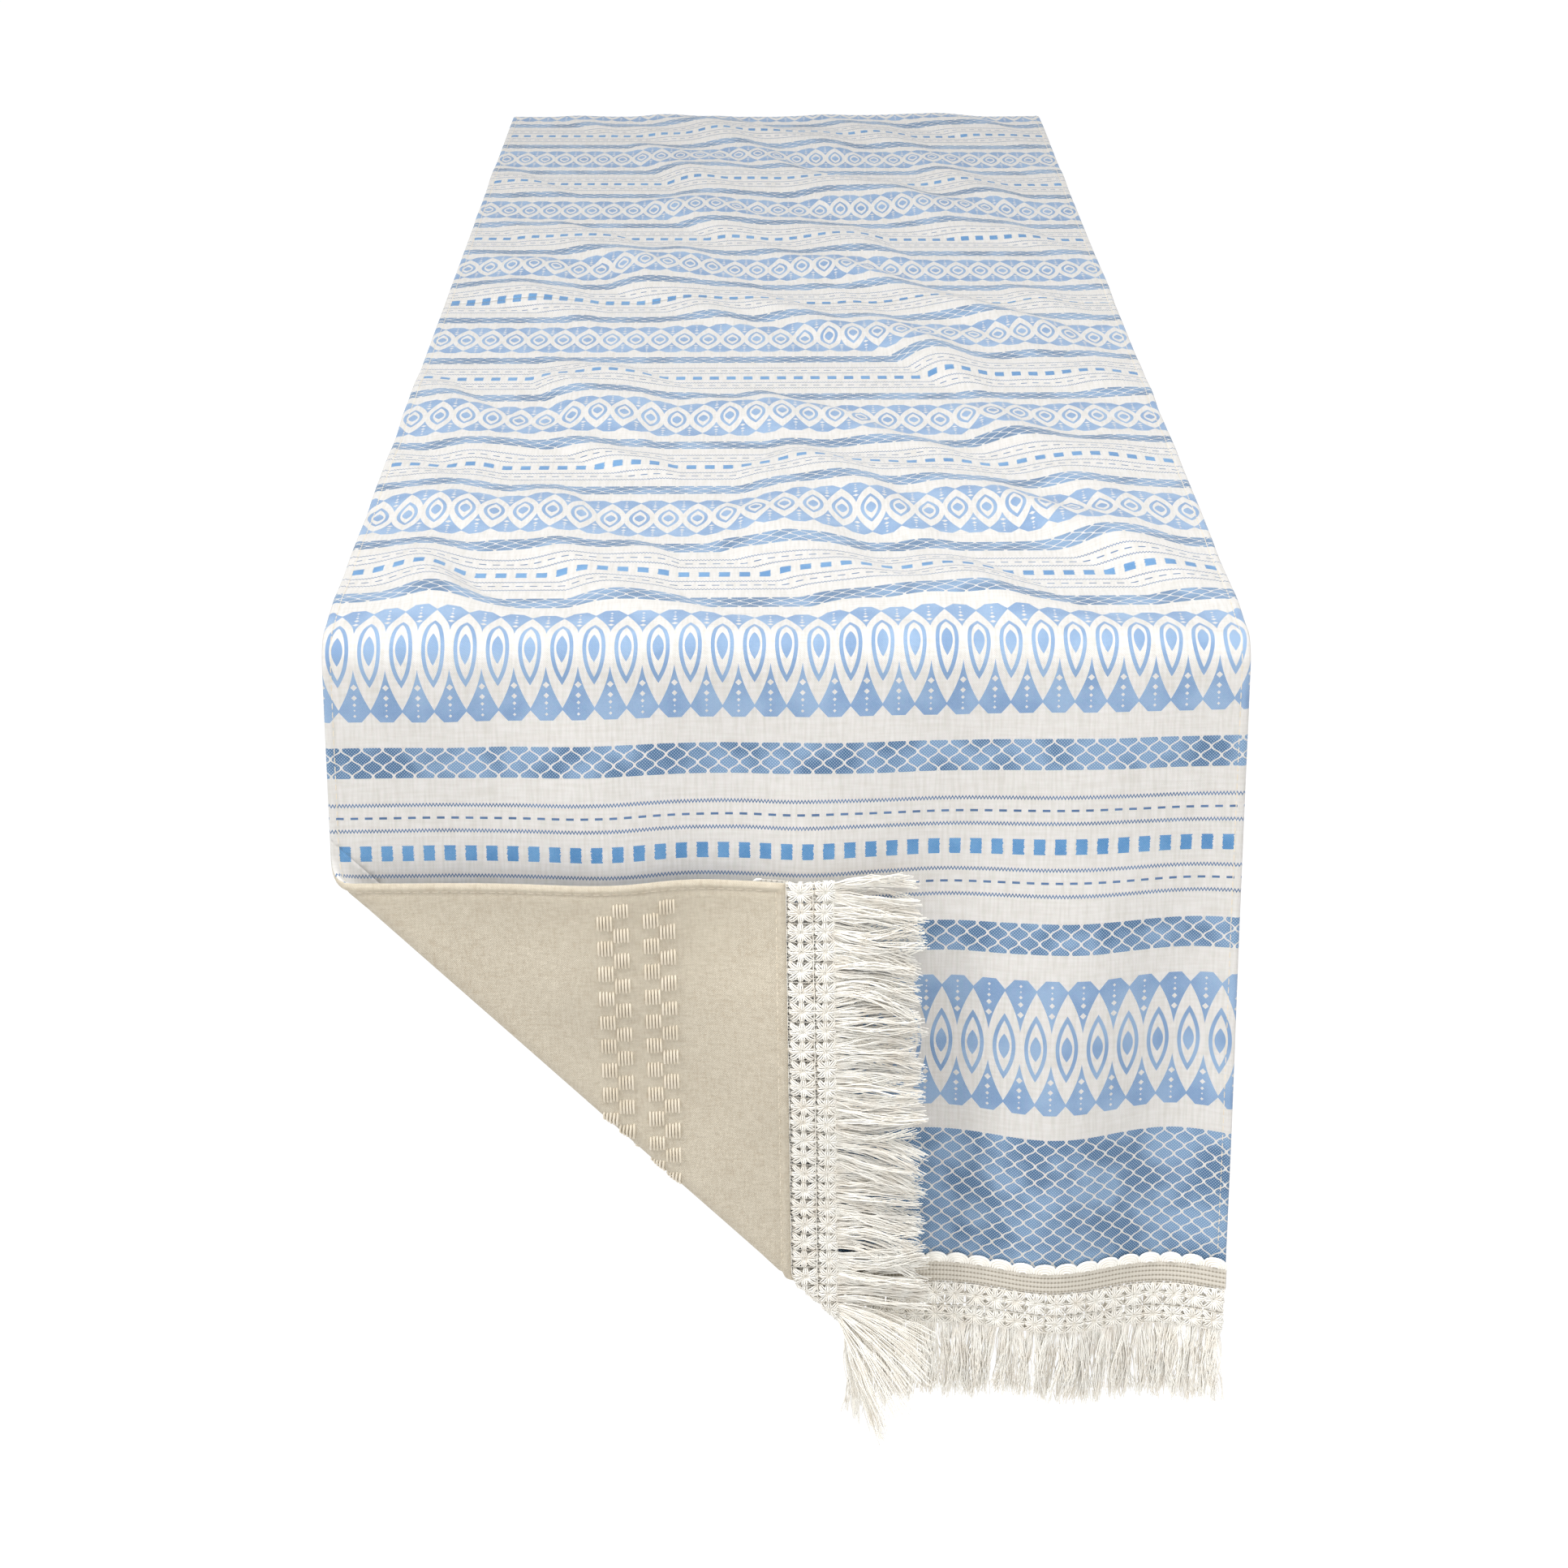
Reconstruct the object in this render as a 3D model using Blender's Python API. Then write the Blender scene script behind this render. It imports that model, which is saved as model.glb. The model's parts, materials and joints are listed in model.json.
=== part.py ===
"""A lined table runner draped over both ends of a table, one corner turned up.

Frame: +Z is up, +X runs across the runner and -Y is the near end. The origin is the
middle of the lining where it lies on the table top. All lengths are in metres.

The runner is two cloths, a patterned face and a plain lining, with embroidery on the
lining and a sewn trim at each end: a scalloped edge, a woven tape, two crocheted rows
and a fringe. It is built in four stiff parts that hinge on one another: the top, the
near drop, the far drop and the turned corner. Bent strips of cloth join them.
"""
import math

import bmesh
import bpy
from mathutils import Matrix, Vector

# ---- Sizes of the runner and of the table it lies on ----
RUNNER_WIDTH = 0.356          # side hem to side hem
TABLE_LENGTH = 1.155          # between the linings of the two drops
DROP_LENGTH = 0.2725          # table top down to the hemmed end of the cloths
TABLE_EDGE_RADIUS = 0.010     # inside radius of the cloth where it bends down

# ---- The turned corner ----
FOLD_START = 0.095            # table top down to the fold, along the side hem
FOLD_END_IN = 0.180           # side hem in to the fold, along the hemmed end
FOLD_GAP = 0.007              # clear height between the two face cloths in the fold

# ---- Cloths and threads ----
FACE_THICKNESS = 0.0008
LINING_THICKNESS = 0.0008
PLY_GAP = 0.0003              # air between pieces that touch
THREAD_THICKNESS = 0.0004
THREAD_WIDTH = 0.0008
SIDE_STITCH_IN = 0.003        # side hem in to its stitching
END_STITCH_IN = 0.004         # hemmed end in to its stitching
EMBROIDERY_THICKNESS = 0.0005
EMBROIDERY_ROW_WIDTH = 0.0061
EMBROIDERY_ROWS = (0.0432, 0.0496, 0.0612, 0.0676)    # hemmed end in to each row

# ---- Trim, sewn to the face at each end ----
SCALLOP_BASE = 0.0016         # straight band that carries the scallops
SCALLOP_REACH = 0.0026        # height of each scallop
SCALLOP_PITCH = 0.0087
SCALLOP_THICKNESS = 0.0012
TAPE_WIDTH = 0.0105
TAPE_THICKNESS = 0.0010
CROCHET_DEPTH = 0.0190        # two rows, from the tape down to the fringe
CROCHET_THICKNESS = 0.0024
CROCHET_BAND = 0.0058         # solid part of each row
CROCHET_REACH = 0.0030        # its knots, which face the other row
FRINGE_LENGTH = 0.0350
FRINGE_THICKNESS = 0.0020
FRINGE_BAND = 0.0025          # where the bundles are knotted in
BUNDLE_PITCH = 0.0081

SEAM_GAP = 0.0004             # between a stiff part and the bent strip next to it
BEND_STEPS = 6
FOLD_STEPS = 12

# ---- Heights above the lining's back, which every piece is stacked by ----
LINING_TOP = LINING_THICKNESS
FACE_BACK = LINING_TOP + PLY_GAP
FACE_TOP = FACE_BACK + FACE_THICKNESS
TRIM_BACK = FACE_TOP + PLY_GAP
TRIM_MIDDLE = FACE_TOP

# ---- The fold line, in the drop's own plane: x across, y up from the table top ----
FOLD_ANGLE = math.atan2(DROP_LENGTH - FOLD_START, FOLD_END_IN)
FOLD_POINT = Vector((-RUNNER_WIDTH / 2, -FOLD_START))
FOLD_ALONG = Vector((math.cos(FOLD_ANGLE), -math.sin(FOLD_ANGLE), 0.0))
FOLD_ACROSS = Vector((math.sin(FOLD_ANGLE), math.cos(FOLD_ANGLE), 0.0))
FOLD_AXIS_HEIGHT = FACE_TOP + FOLD_GAP / 2
FOLD_RADIUS = FOLD_AXIS_HEIGHT - (FACE_BACK + LINING_TOP) / 2
FOLD_REACH = math.pi * FOLD_RADIUS / 2     # cloth taken up by each half of the fold

# ---- Where the rows of the trim lie, measured up from the table top ----
CLOTH_END = -DROP_LENGTH
TAPE_EDGE = CLOTH_END + TAPE_WIDTH
SCALLOP_EDGE = TAPE_EDGE + PLY_GAP
CROCHET_TOP = CLOTH_END - PLY_GAP
CROCHET_END = CLOTH_END - CROCHET_DEPTH
FRINGE_TOP = CROCHET_END - PLY_GAP

# Colour, roughness and metallic value of each cloth and yarn
FINISHES = {
    "face_cloth": ((0.56, 0.66, 0.80), 0.85),
    "lining_cloth": ((0.69, 0.61, 0.48), 0.90),
    "trim_cotton": ((0.84, 0.80, 0.72), 0.90),
    "sewing_thread": ((0.80, 0.76, 0.68), 0.70),
}


def clear_scene():
    """Remove whatever the scene holds."""
    for scene_object in list(bpy.data.objects):
        bpy.data.objects.remove(scene_object, do_unlink=True)


def make_material(name):
    """Make one finish from the table above."""
    colour, roughness = FINISHES[name]
    material = bpy.data.materials.new(name)
    material.use_nodes = True
    shader = material.node_tree.nodes["Principled BSDF"]
    shader.inputs["Base Color"].default_value = (*colour, 1.0)
    shader.inputs["Roughness"].default_value = roughness
    shader.inputs["Metallic"].default_value = 0.0
    return material


class Part:
    """One stiff part: its hinge, its plane, and how far its cloth runs at each height.

    A part's pieces are drawn in its plane: x across, y up from the table top (along the
    top, on the top itself) and z out from the lining's back towards the face.
    """

    def __init__(self, name, hinge, plane, parent=None, limits=None):
        self.name = name
        self.plane = plane
        self.hinge = hinge
        self.limits = limits
        self.empty = bpy.data.objects.new(name, None)
        bpy.context.scene.collection.objects.link(self.empty)
        self.empty.parent = parent.empty if parent else None
        parent_matrix = parent.hinge if parent else Matrix.Identity(4)
        self.empty.matrix_basis = parent_matrix.inverted() @ hinge

    def add(self, name, mesh, material):
        """Turn a finished bmesh into this part's next piece."""
        bmesh.ops.recalc_face_normals(mesh, faces=mesh.faces)
        data = bpy.data.meshes.new(name)
        mesh.to_mesh(data)
        mesh.free()
        data.materials.append(material)
        piece = bpy.data.objects.new(name, data)
        bpy.context.scene.collection.objects.link(piece)
        piece.parent = self.empty
        piece.matrix_basis = self.hinge.inverted() @ self.plane
        return piece


def flat_piece(part, name, outline, low, high, material):
    """Raise a flat outline from one height to another."""
    mesh = bmesh.new()
    face = mesh.faces.new([mesh.verts.new((x, y, low)) for x, y in outline])
    raised = bmesh.ops.extrude_face_region(mesh, geom=[face])
    corners = [item for item in raised["geom"] if isinstance(item, bmesh.types.BMVert)]
    bmesh.ops.translate(mesh, vec=(0.0, 0.0, high - low), verts=corners)
    return part.add(name, mesh, material)


def spun_bar(centre, axis, outward, inner, outer, turn, steps, start, length):
    """A bar of cloth bent about a line: its section spun through the turn."""
    mesh = bmesh.new()
    corners = []
    for radius, along in ((inner, 0.0), (outer, 0.0), (outer, length), (inner, length)):
        corners.append(mesh.verts.new(centre + axis * (start + along) + outward * radius))
    section = mesh.faces.new(corners)
    bmesh.ops.spin(mesh, geom=[section, *section.edges, *section.verts], cent=centre,
                   axis=axis, angle=turn, steps=steps, use_merge=False, use_duplicate=False)
    return mesh


# ---- Where the fold cuts a piece of the drop ----

def fold_x(y, across):
    """The x of the line that lies `across` from the fold, at height y."""
    rise = (y - FOLD_POINT.y) * FOLD_ACROSS.y
    return FOLD_POINT.x + (across - rise) / FOLD_ACROSS.x


def fold_y(x, across):
    """The y of the same line at x."""
    run = (x - FOLD_POINT.x) * FOLD_ACROSS.x
    return FOLD_POINT.y + (across - run) / FOLD_ACROSS.y


def whole_width(_y):
    """Limits of a part that the fold doesn't reach."""
    return -RUNNER_WIDTH / 2, RUNNER_WIDTH / 2


def drop_side_of_fold(y):
    """Limits of the near drop, to the right of the fold."""
    return max(-RUNNER_WIDTH / 2, fold_x(y, FOLD_REACH + SEAM_GAP)), RUNNER_WIDTH / 2


def corner_side_of_fold(y):
    """Limits of the turned corner, to the left of the fold."""
    return -RUNNER_WIDTH / 2, fold_x(y, -FOLD_REACH - SEAM_GAP)


# ---- Outlines ----

def band(part, top, bottom, hem_inset=0.0):
    """A straight band between two heights, from side to side or short of the side hems."""
    widest = RUNNER_WIDTH / 2 - hem_inset
    corners = []
    for height in (bottom, top):
        left, right = part.limits(height)
        corners += [(max(left, -widest), height), (min(right, widest), height)]
    return [corners[0], corners[1], corners[3], corners[2]]


def motif_run(part, edge, reach, pitch, motif):
    """Points of a motif repeated along an edge, from left to right, where it fits whole.

    The motif is a list of (share of the pitch, share of the reach) points.
    """
    count = int(RUNNER_WIDTH / pitch)
    first = -count * pitch / 2
    ends = (part.limits(edge), part.limits(edge + reach))
    left = max(end[0] for end in ends) + SEAM_GAP
    right = min(end[1] for end in ends) - SEAM_GAP
    points = []
    for number in range(count):
        start = first + number * pitch
        if start < left or start + pitch > right:
            continue
        points += [(start + share * pitch, edge + height * reach) for share, height in motif]
    return points


def fringed_band(part, top, bottom, reach, pitch, motif):
    """A band whose bottom edge carries a motif that hangs down by reach."""
    hanging = motif_run(part, bottom, -reach, pitch, motif)
    plain = band(part, top, bottom)
    return [plain[0], *hanging, *plain[1:]]


def crested_band(part, top, bottom, reach, pitch, motif):
    """A band whose top edge carries a motif that stands up by reach."""
    standing = motif_run(part, top, reach, pitch, motif)
    plain = band(part, top, bottom)
    return [*plain[:3], *reversed(standing), plain[3]]


SCALLOP_ARC = [(0.5 - 0.5 * math.cos(math.pi * step / 4), math.sin(math.pi * step / 4))
               for step in range(5)]
SCALLOP = [(0.04 + 0.92 * share, height) for share, height in SCALLOP_ARC]
KNOT = [(0.10, 0.0), (0.28, 1.0), (0.72, 1.0), (0.90, 0.0)]
BUNDLE = [(0.12, 0.0), (0.20, 1.0), (0.80, 1.0), (0.88, 0.0)]


# ---- The sub-parts ----

def add_cloths(part, outline, face_material, lining_material):
    """The face cloth and the lining behind it."""
    flat_piece(part, part.name + "_face_cloth", outline, FACE_BACK, FACE_TOP, face_material)
    flat_piece(part, part.name + "_lining", outline, 0.0, LINING_TOP, lining_material)


def add_side_stitch(part, name, middle, start, end, material, on_lining=False):
    """One line of stitching along a side hem."""
    half = THREAD_WIDTH / 2
    outline = [(middle - half, start), (middle + half, start),
               (middle + half, end), (middle - half, end)]
    low = -PLY_GAP - THREAD_THICKNESS if on_lining else FACE_TOP + PLY_GAP
    flat_piece(part, name, outline, low, low + THREAD_THICKNESS, material)


def add_end_stitch(part, material):
    """The stitching of the hemmed end, on the lining."""
    middle = CLOTH_END + END_STITCH_IN
    outline = band(part, middle + THREAD_WIDTH / 2, middle - THREAD_WIDTH / 2)
    low = -PLY_GAP - THREAD_THICKNESS
    flat_piece(part, part.name + "_end_topstitch", outline, low, low + THREAD_THICKNESS,
               material)


def add_embroidery(part, material):
    """Rows of thread blocks worked on the lining, from one side stitching to the other."""
    hem_inset = SIDE_STITCH_IN + THREAD_WIDTH / 2 + SEAM_GAP
    for number, distance in enumerate(EMBROIDERY_ROWS, start=1):
        bottom = CLOTH_END + distance
        outline = band(part, bottom + EMBROIDERY_ROW_WIDTH, bottom, hem_inset)
        low = -PLY_GAP - EMBROIDERY_THICKNESS
        flat_piece(part, f"{part.name}_embroidery_row_{number}", outline, low,
                   low + EMBROIDERY_THICKNESS, material)


def add_trim(part, material):
    """Scalloped edge, tape, two crocheted rows and the fringe."""
    flat_piece(part, part.name + "_scalloped_edge",
               crested_band(part, SCALLOP_EDGE + SCALLOP_BASE, SCALLOP_EDGE, SCALLOP_REACH,
                            SCALLOP_PITCH, SCALLOP),
               TRIM_BACK, TRIM_BACK + SCALLOP_THICKNESS, material)
    flat_piece(part, part.name + "_tape", band(part, TAPE_EDGE, CLOTH_END),
               TRIM_BACK, TRIM_BACK + TAPE_THICKNESS, material)
    crochet_low = TRIM_MIDDLE - CROCHET_THICKNESS / 2
    crochet_high = TRIM_MIDDLE + CROCHET_THICKNESS / 2
    flat_piece(part, part.name + "_crochet_row_upper",
               fringed_band(part, CROCHET_TOP, CROCHET_TOP - CROCHET_BAND, CROCHET_REACH,
                            BUNDLE_PITCH, KNOT),
               crochet_low, crochet_high, material)
    flat_piece(part, part.name + "_crochet_row_lower",
               crested_band(part, CROCHET_END + CROCHET_BAND, CROCHET_END, CROCHET_REACH,
                            BUNDLE_PITCH, KNOT),
               crochet_low, crochet_high, material)
    flat_piece(part, part.name + "_fringe",
               fringed_band(part, FRINGE_TOP, FRINGE_TOP - FRINGE_BAND,
                            FRINGE_LENGTH - FRINGE_BAND - PLY_GAP, BUNDLE_PITCH, BUNDLE),
               TRIM_MIDDLE - FRINGE_THICKNESS / 2, TRIM_MIDDLE + FRINGE_THICKNESS / 2,
               material)


def add_table_bend(part, name, inner, outer, material):
    """Cloth bent a quarter turn over the table's end, hung on the drop's hinge."""
    centre = part.plane.inverted() @ part.hinge.translation
    width = RUNNER_WIDTH
    mesh = spun_bar(centre, Vector((1.0, 0.0, 0.0)), Vector((0.0, 0.0, 1.0)), inner, outer,
                    -math.pi / 2, BEND_STEPS, -width / 2 - centre.x, width)
    part.add(name, mesh, material)


def add_fold_strip(part, name, low, high, first_edge, last_edge, material):
    """A strip that runs round the fold of the turned corner.

    Its two ends lie on straight edges of the flat cloth, so they are cut on the bias:
    each edge is given as the distance along the fold where it lies, at `across`.
    """
    centre = fold_point_at(FOLD_REACH)
    mesh = spun_bar(centre, FOLD_ALONG, Vector((0.0, 0.0, -1.0)), FOLD_AXIS_HEIGHT - high,
                    FOLD_AXIS_HEIGHT - low, -math.pi, FOLD_STEPS, 0.0, 1.0)
    for corner in mesh.verts:
        arm = corner.co - centre
        along = arm.dot(FOLD_ALONG)
        radius = math.hypot(arm.dot(FOLD_ACROSS), arm.z)
        turned = math.acos(max(-1.0, min(1.0, -arm.z / radius)))
        across = FOLD_REACH * (1.0 - 2.0 * turned / math.pi)
        edge = last_edge(across) if along > 0.5 else first_edge(across)
        corner.co += FOLD_ALONG * (edge - along)
    part.add(name, mesh, material)


def fold_point_at(across):
    """The point of the hinge line that lies `across` from the fold's middle."""
    flat = Vector((FOLD_POINT.x, FOLD_POINT.y, FOLD_AXIS_HEIGHT))
    return flat + FOLD_ACROSS * across


def side_hem_edge(across):
    """Distance along the fold of the side hem."""
    return -across * FOLD_ACROSS.x / FOLD_ALONG.x


def level_edge(height):
    """Distance along the fold of a line that is level on the drop, as a function."""
    def along(across):
        return (FOLD_POINT.y - height + across * FOLD_ACROSS.y) / -FOLD_ALONG.y
    return along


def add_fold(part, face_material, lining_material, trim_material):
    """Everything that is bent round the fold."""
    end = level_edge(CLOTH_END)
    add_fold_strip(part, "corner_fold_face_cloth", FACE_BACK, FACE_TOP, side_hem_edge, end,
                   face_material)
    add_fold_strip(part, "corner_fold_lining", 0.0, LINING_TOP, side_hem_edge, end,
                   lining_material)
    add_fold_strip(part, "corner_fold_tape", TRIM_BACK, TRIM_BACK + TAPE_THICKNESS,
                   level_edge(TAPE_EDGE), end, trim_material)
    crochet = (TRIM_MIDDLE - CROCHET_THICKNESS / 2, TRIM_MIDDLE + CROCHET_THICKNESS / 2)
    add_fold_strip(part, "corner_fold_crochet_row_upper", *crochet, level_edge(CROCHET_TOP),
                   level_edge(CROCHET_TOP - CROCHET_BAND), trim_material)
    add_fold_strip(part, "corner_fold_crochet_row_lower", *crochet,
                   level_edge(CROCHET_END + CROCHET_BAND), level_edge(CROCHET_END),
                   trim_material)


def drop_plane(facing):
    """Plane of a drop: x across, y up, z out of the table's end."""
    turn = Matrix.Rotation(math.radians(90.0), 4, "X")
    near = Matrix.Translation((0.0, -TABLE_LENGTH / 2, 0.0)) @ turn
    return Matrix.Rotation(0.0 if facing < 0 else math.pi, 4, "Z") @ near


def drop_hinge(plane):
    """A drop hinges about the middle of its bend over the table's end."""
    return plane @ Matrix.Translation((0.0, -TABLE_EDGE_RADIUS, -TABLE_EDGE_RADIUS))


def build_top(materials):
    """The part that lies on the table."""
    half_length = TABLE_LENGTH / 2 - TABLE_EDGE_RADIUS - SEAM_GAP
    half_width = RUNNER_WIDTH / 2
    top = Part("top", Matrix.Identity(4), Matrix.Identity(4))
    outline = [(-half_width, -half_length), (half_width, -half_length),
               (half_width, half_length), (-half_width, half_length)]
    add_cloths(top, outline, materials["face_cloth"], materials["lining_cloth"])
    stitch = half_width - SIDE_STITCH_IN
    for side, middle in (("left", -stitch), ("right", stitch)):
        add_side_stitch(top, f"top_{side}_topstitch", middle, -half_length, half_length,
                        materials["sewing_thread"])
    return top


def build_drop(name, facing, limits, top, materials):
    """A drop down to its fringe, without its cloths."""
    plane = drop_plane(facing)
    drop = Part(name, drop_hinge(plane), plane, top, limits)
    add_end_stitch(drop, materials["sewing_thread"])
    add_embroidery(drop, materials["trim_cotton"])
    add_trim(drop, materials["trim_cotton"])
    side = name.split("_")[0]
    add_table_bend(drop, side + "_bend_face_cloth", TABLE_EDGE_RADIUS + FACE_BACK,
                   TABLE_EDGE_RADIUS + FACE_TOP, materials["face_cloth"])
    add_table_bend(drop, side + "_bend_lining", TABLE_EDGE_RADIUS,
                   TABLE_EDGE_RADIUS + LINING_TOP, materials["lining_cloth"])
    return drop


def build_near_drop(top, materials):
    """The near drop, whose lower left is cut away along the fold."""
    drop = build_drop("near_drop", -1, drop_side_of_fold, top, materials)
    start = -TABLE_EDGE_RADIUS - SEAM_GAP
    half = RUNNER_WIDTH / 2
    reach = FOLD_REACH + SEAM_GAP
    outline = [(-half, start), (-half, fold_y(-half, reach)),
               (fold_x(CLOTH_END, reach), CLOTH_END), (half, CLOTH_END), (half, start)]
    add_cloths(drop, outline, materials["face_cloth"], materials["lining_cloth"])
    stitch = half - SIDE_STITCH_IN
    thread = materials["sewing_thread"]
    add_side_stitch(drop, "near_drop_left_topstitch", -stitch,
                    fold_y(THREAD_WIDTH / 2 - stitch, reach) + THREAD_WIDTH, start, thread)
    add_side_stitch(drop, "near_drop_right_topstitch", stitch,
                    SCALLOP_EDGE + SCALLOP_BASE + SCALLOP_REACH + PLY_GAP, start, thread)
    return drop


def build_far_drop(top, materials):
    """The far drop, which hangs straight."""
    drop = build_drop("far_drop", 1, whole_width, top, materials)
    start = -TABLE_EDGE_RADIUS - SEAM_GAP
    half = RUNNER_WIDTH / 2
    outline = [(-half, start), (-half, CLOTH_END), (half, CLOTH_END), (half, start)]
    add_cloths(drop, outline, materials["face_cloth"], materials["lining_cloth"])
    stitch = half - SIDE_STITCH_IN
    for side, middle in (("left", stitch), ("right", -stitch)):
        add_side_stitch(drop, f"far_drop_{side}_topstitch", middle,
                        SCALLOP_EDGE + SCALLOP_BASE + SCALLOP_REACH + PLY_GAP, start,
                        materials["sewing_thread"])
    return drop


def build_turned_corner(near_drop, materials):
    """The lower left corner, drawn flat and then turned up half a turn about the fold."""
    half_turn = Matrix.Rotation(math.pi, 4, FOLD_ALONG)
    middle = Matrix.Translation(fold_point_at(0.0))
    hinge = Matrix.Translation(fold_point_at(FOLD_REACH))
    plane = near_drop.plane @ middle @ half_turn @ middle.inverted()
    corner = Part("turned_corner", near_drop.plane @ hinge @ half_turn, plane, near_drop,
                  corner_side_of_fold)
    half = RUNNER_WIDTH / 2
    reach = -FOLD_REACH - SEAM_GAP
    outline = [(-half, fold_y(-half, reach)), (-half, CLOTH_END),
               (fold_x(CLOTH_END, reach), CLOTH_END)]
    add_cloths(corner, outline, materials["face_cloth"], materials["lining_cloth"])
    stitch = half - SIDE_STITCH_IN
    add_side_stitch(corner, "turned_corner_side_topstitch", -stitch,
                    CLOTH_END + END_STITCH_IN + THREAD_WIDTH,
                    fold_y(-stitch - THREAD_WIDTH / 2, reach) - 2 * THREAD_WIDTH,
                    materials["sewing_thread"], on_lining=True)
    add_end_stitch(corner, materials["sewing_thread"])
    add_embroidery(corner, materials["trim_cotton"])
    add_trim(corner, materials["trim_cotton"])
    return corner


def main():
    """Build the runner."""
    clear_scene()
    materials = {name: make_material(name) for name in FINISHES}
    top = build_top(materials)
    near_drop = build_near_drop(top, materials)
    build_far_drop(top, materials)
    build_turned_corner(near_drop, materials)
    add_fold(near_drop, materials["face_cloth"], materials["lining_cloth"],
             materials["trim_cotton"])


main()
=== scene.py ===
"""A lined table runner with crocheted and fringed ends, one corner turned up.

The frame gives every size and place. A point of the flat runner is named by how far
across it lies, its station (how far along from the middle of the top, positive towards
the near end) and its height above the lining's back. One function, drape, says where
that point lies once the runner is on its table, so cloth, stitches, tape, crochet and
fringe are all drawn flat and then draped.
"""
import json
import math
import random

import bmesh
import bpy
from bpy.props import FloatProperty, FloatVectorProperty, IntProperty, PointerProperty
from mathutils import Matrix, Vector, noise


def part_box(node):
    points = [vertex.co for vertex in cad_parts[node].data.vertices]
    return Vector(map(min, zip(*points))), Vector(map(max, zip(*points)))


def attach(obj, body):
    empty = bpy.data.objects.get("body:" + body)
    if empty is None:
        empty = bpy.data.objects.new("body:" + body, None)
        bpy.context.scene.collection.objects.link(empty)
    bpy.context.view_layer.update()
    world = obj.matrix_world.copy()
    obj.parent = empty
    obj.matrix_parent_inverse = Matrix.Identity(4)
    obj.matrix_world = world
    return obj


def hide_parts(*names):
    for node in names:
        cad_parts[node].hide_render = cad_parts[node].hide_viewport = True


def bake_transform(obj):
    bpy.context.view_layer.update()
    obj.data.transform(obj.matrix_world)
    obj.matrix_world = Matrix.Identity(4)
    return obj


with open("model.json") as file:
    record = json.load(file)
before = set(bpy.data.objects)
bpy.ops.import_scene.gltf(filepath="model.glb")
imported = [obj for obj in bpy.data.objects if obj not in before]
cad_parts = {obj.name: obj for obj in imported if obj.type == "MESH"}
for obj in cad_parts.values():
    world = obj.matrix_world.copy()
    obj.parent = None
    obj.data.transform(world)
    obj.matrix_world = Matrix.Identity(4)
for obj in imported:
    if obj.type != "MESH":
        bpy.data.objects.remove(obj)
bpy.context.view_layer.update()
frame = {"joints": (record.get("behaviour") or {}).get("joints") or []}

bl_info = {
    "name": "Draped table runner",
    "version": (1, 0, 0),
    "blender": (4, 5, 0),
    "location": "3D View > Sidebar > Runner",
    "description": "Models a fringed table runner with one corner turned up",
    "category": "Add Mesh",
}

# ---- Sizes read from the frame, in metres ----
JOINTS = {joint["name"]: joint for joint in frame["joints"]}
HALF_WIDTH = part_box("top_face_cloth")[1].x
FACE_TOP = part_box("top_face_cloth")[1].z
HALF_TABLE = -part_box("near_drop_lining")[1].y
FLAT_HALF = -JOINTS["near_drop_lift"]["pos_m"][1]
BEND_RADIUS = -JOINTS["near_drop_lift"]["pos_m"][2]
CLOTH_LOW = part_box("near_drop_face_cloth")[0].z
TAPE_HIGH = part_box("near_drop_tape")[1].z
TAPE_BACK = -HALF_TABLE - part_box("near_drop_tape")[1].y
CROCHET_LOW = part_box("near_drop_crochet_row_lower")[0].z
FRINGE_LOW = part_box("near_drop_fringe")[0].z

# ---- The same places as stations along the flat runner ----
BEND_ARC = math.pi / 2 * (BEND_RADIUS + FACE_TOP / 2)
DROP_START = FLAT_HALF + BEND_ARC


def station_of(height):
    """Station on the drop of a height below the table top."""
    return DROP_START - BEND_RADIUS - height


CLOTH_END = station_of(CLOTH_LOW)
TAPE_START = station_of(TAPE_HIGH)
CROCHET_END = station_of(CROCHET_LOW)
FRINGE_END = station_of(FRINGE_LOW)

# ---- The fold of the turned corner, in the drop's plane (x across, y up) ----
FOLD_AXIS = JOINTS["corner_fold"]["axis"]
FOLD_POS = JOINTS["corner_fold"]["pos_m"]
FOLD_HEIGHT = -FOLD_POS[1] - HALF_TABLE
FOLD_ALONG = Vector((FOLD_AXIS[0], FOLD_AXIS[2]))
FOLD_ACROSS = Vector((-FOLD_AXIS[2], FOLD_AXIS[0]))
FOLD_REACH = math.pi / 2 * (FOLD_HEIGHT - FACE_TOP / 2)
FOLD_MIDDLE = Vector((FOLD_POS[0], FOLD_POS[2])) - FOLD_ACROSS * FOLD_REACH
FOLD_SEAM = FOLD_REACH + 0.004        # where the corner's pieces join the drop's
CORNER_RIGHT = 0.030                  # the corner's cloth lies left of this
CORNER_TOP = -0.075                   # and below this

# ---- Woven pattern, in millimetres along and across the cloth ----
ALMOND_PITCH = 12.3                   # between almonds in a band
ALMOND_CENTRE = 107.0                 # hemmed end to the first almond band's middle
REPEATS = 9                           # almond band to almond band, end to end
REPEAT = (2000 * CLOTH_END - 2 * ALMOND_CENTRE) / REPEATS
FIELD_TOP = 67.6                      # the ogee field reaches from the end to here
OGEE_PITCH = 8.1
OGEE_ROW = 3.65
OGEE_BAND = (44.5, 6.3)               # middle and half height, from the almond's middle
OGEE_CELL = 46.3                      # middle of a row of its cells
LINES_MIDDLE = 67.4                   # dashes, with a zigzag either side
ZIGZAG_OUT = 5.35
ZIGZAG_PITCH = 1.3
DASH_PITCH = 5.6
SQUARES_FROM = REPEAT / 2 - 3.2
SQUARE_PITCH = 8.2
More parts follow.
